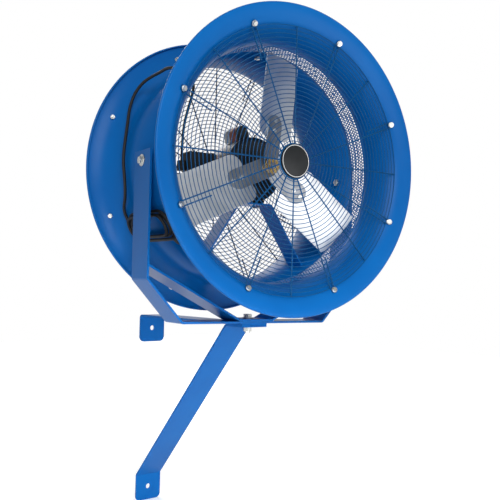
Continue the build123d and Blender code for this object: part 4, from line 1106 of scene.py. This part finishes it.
@dataclass
class Studio:
    """A pale floor, a white surround, soft lamps and the photograph's camera.

    Attributes:
        eye: The camera's place.
        heading: Its turn from the wall's normal, to the right.
        pitch: Its look upwards.
        roll: Its roll.
        lens: The focal length, in millimetres.
        film: The film's width, in millimetres.
        shift: The frame's shift, as a part of its width.
        floor_z: The floor's height, at the lower foot.
        floor_half: Half of the floor's width.
        floor_shade: The floor's grey.
        floor_glow: The floor's own glow near the object, where its shadow stays, and far off.
        floor_fades: The distances from the frame's origin between which the glow rises.
        room: The strength of the room's own light.
        ceiling: How bright the ceiling is where metal mirrors it.
        walls_to: The heights of direction between which the mirrored wall turns into ceiling.
        lamps: The lamps.
    """

    eye: Triple = (-1.5325, -2.2071, 0.4552)
    heading: float = math.radians(41.22)
    pitch: float = math.radians(1.31)
    roll: float = math.radians(1.37)
    lens: float = 53.9
    film: float = 36
    shift: Pair = (0.0246, 0.0263)
    floor_z: float = -0.3256
    floor_half: float = 6.0
    floor_shade: float = 0.88
    floor_glow: Pair = (0.42, 0.9)
    floor_fades: Pair = (0.6, 2.6)
    room: float = 0.3
    ceiling: float = 0.3
    walls_to: Pair = (-0.05, 0.25)
    lamps: tuple[Lamp, ...] = (
        Lamp("key", (-1.9, -3.0, 2.0), 1.8, 63),
        Lamp("fill", (0.3, -2.9, 0.1), 1.8, 21),
        Lamp("back", (0.8, 2.2, 2.4), 1.8, 45),
        Lamp("low", (-1.0, -1.9, -0.2), 0.9, 4, (0.0, -0.25, -0.15), math.radians(50)))

    def camera(self) -> None:
        """Stands the camera where the photograph was taken from."""
        ahead = Vector((math.sin(self.heading) * math.cos(self.pitch),
                        math.cos(self.heading) * math.cos(self.pitch), math.sin(self.pitch)))
        level = Vector((math.cos(self.heading), -math.sin(self.heading), 0))
        above = level.cross(ahead)
        right = level * math.cos(self.roll) + above * math.sin(self.roll)
        up = above * math.cos(self.roll) - level * math.sin(self.roll)
        data = bpy.data.cameras.new("camera")
        data.lens = self.lens
        data.sensor_width = self.film
        data.shift_x, data.shift_y = self.shift
        data.clip_start = 0.02
        camera = stand("camera", data)
        rows = Matrix((right, up, -ahead)).transposed().to_4x4()
        camera.matrix_world = Matrix.Translation(self.eye) @ rows
        bpy.context.scene.camera = camera

    def surround(self) -> None:
        """Lights the room softly, and shows white to the camera, to metal and to glass."""
        world = bpy.data.worlds.new("surround")
        bpy.context.scene.world = world
        world.use_nodes = True
        tree = world.node_tree
        tree.nodes.clear()
        seen, mirrored = backdrop_rays(tree)
        way = add_node(tree, "ShaderNodeTexCoord").outputs["Generated"]
        height = add_node(tree, "ShaderNodeSeparateXYZ", {}, {0: way}).outputs["Z"]
        sky = remap(tree, height, self.walls_to, (1.0, self.ceiling))
        shown = combine(tree, "MAXIMUM", seen, combine(tree, "MULTIPLY", mirrored, sky))
        soft = add_node(tree, "ShaderNodeBackground", {"Color": WHITE, "Strength": self.room})
        white = add_node(tree, "ShaderNodeBackground", {"Color": WHITE, "Strength": 1.0})
        both = add_node(tree, "ShaderNodeMixShader", {}, {0: shown, 1: soft.outputs[0], 2: white.outputs[0]})
        add_node(tree, "ShaderNodeOutputWorld", {}, {0: both.outputs[0]})

    def floor_material(self) -> bpy.types.Material:
        """Builds the floor's white, which keeps the object's shadow near it and is plain white far off.

        Returns:
            The material.
        """
        material = bpy.data.materials.new("floor_white")
        material.use_nodes = True
        tree = material.node_tree
        shader = tree.nodes["Principled BSDF"]
        shader.inputs["Base Color"].default_value = (*[self.floor_shade] * 3, 1.0)
        shader.inputs["Roughness"].default_value = 0.9
        shader.inputs["Emission Color"].default_value = WHITE
        seen, mirrored = backdrop_rays(tree)
        where = add_node(tree, "ShaderNodeTexCoord").outputs["Object"]
        away = add_node(tree, "ShaderNodeVectorMath", {}, {0: where}, operation="LENGTH").outputs["Value"]
        glow = remap(tree, away, self.floor_fades, self.floor_glow)
        strength = combine(tree, "MULTIPLY", combine(tree, "MAXIMUM", seen, mirrored), glow)
        tree.links.new(strength, shader.inputs["Emission Strength"])
        return material

    def floor(self) -> None:
        """Lays the pale floor under the lower foot."""
        shape = bmesh.new()
        bmesh.ops.create_grid(shape, x_segments=1, y_segments=1, size=self.floor_half)
        bmesh.ops.translate(shape, verts=shape.verts, vec=(0, 0, self.floor_z))
        mesh = bpy.data.meshes.new("floor")
        shape.to_mesh(mesh)
        shape.free()
        mesh.materials.append(self.floor_material())
        floor = stand("floor", mesh)

    def make(self) -> None:
        """Sets up the studio."""
        self.camera()
        self.surround()
        self.floor()
        for lamp in self.lamps:
            lamp.hang()
        bpy.context.scene.view_settings.view_transform = "Standard"


def main() -> None:
    """Builds the sub-assemblies in order."""
    logging.basicConfig(level=logging.INFO, format="%(name)s: %(message)s")
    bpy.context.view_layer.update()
    Studio().make()
    shop = Workshop()
    # The front guard's wire and the rear guard get darker copies of the blue powder coat, as painted shade
    for part in (Hardware(), Capacitor(), HubBushing(), Cords(),
                 Bell(Side.FRONT, -133 * MM), Bell(Side.REAR, -65 * MM), PerforatedBand(),
                 Guard(Side.FRONT, WIRE_PAINTED_SHADE_ENAMEL), Guard(Side.REAR, REAR_GUARD_PAINTED_SHADE_ENAMEL), Badge()):
        part.make(shop)


if __name__ == "__main__":
    main()
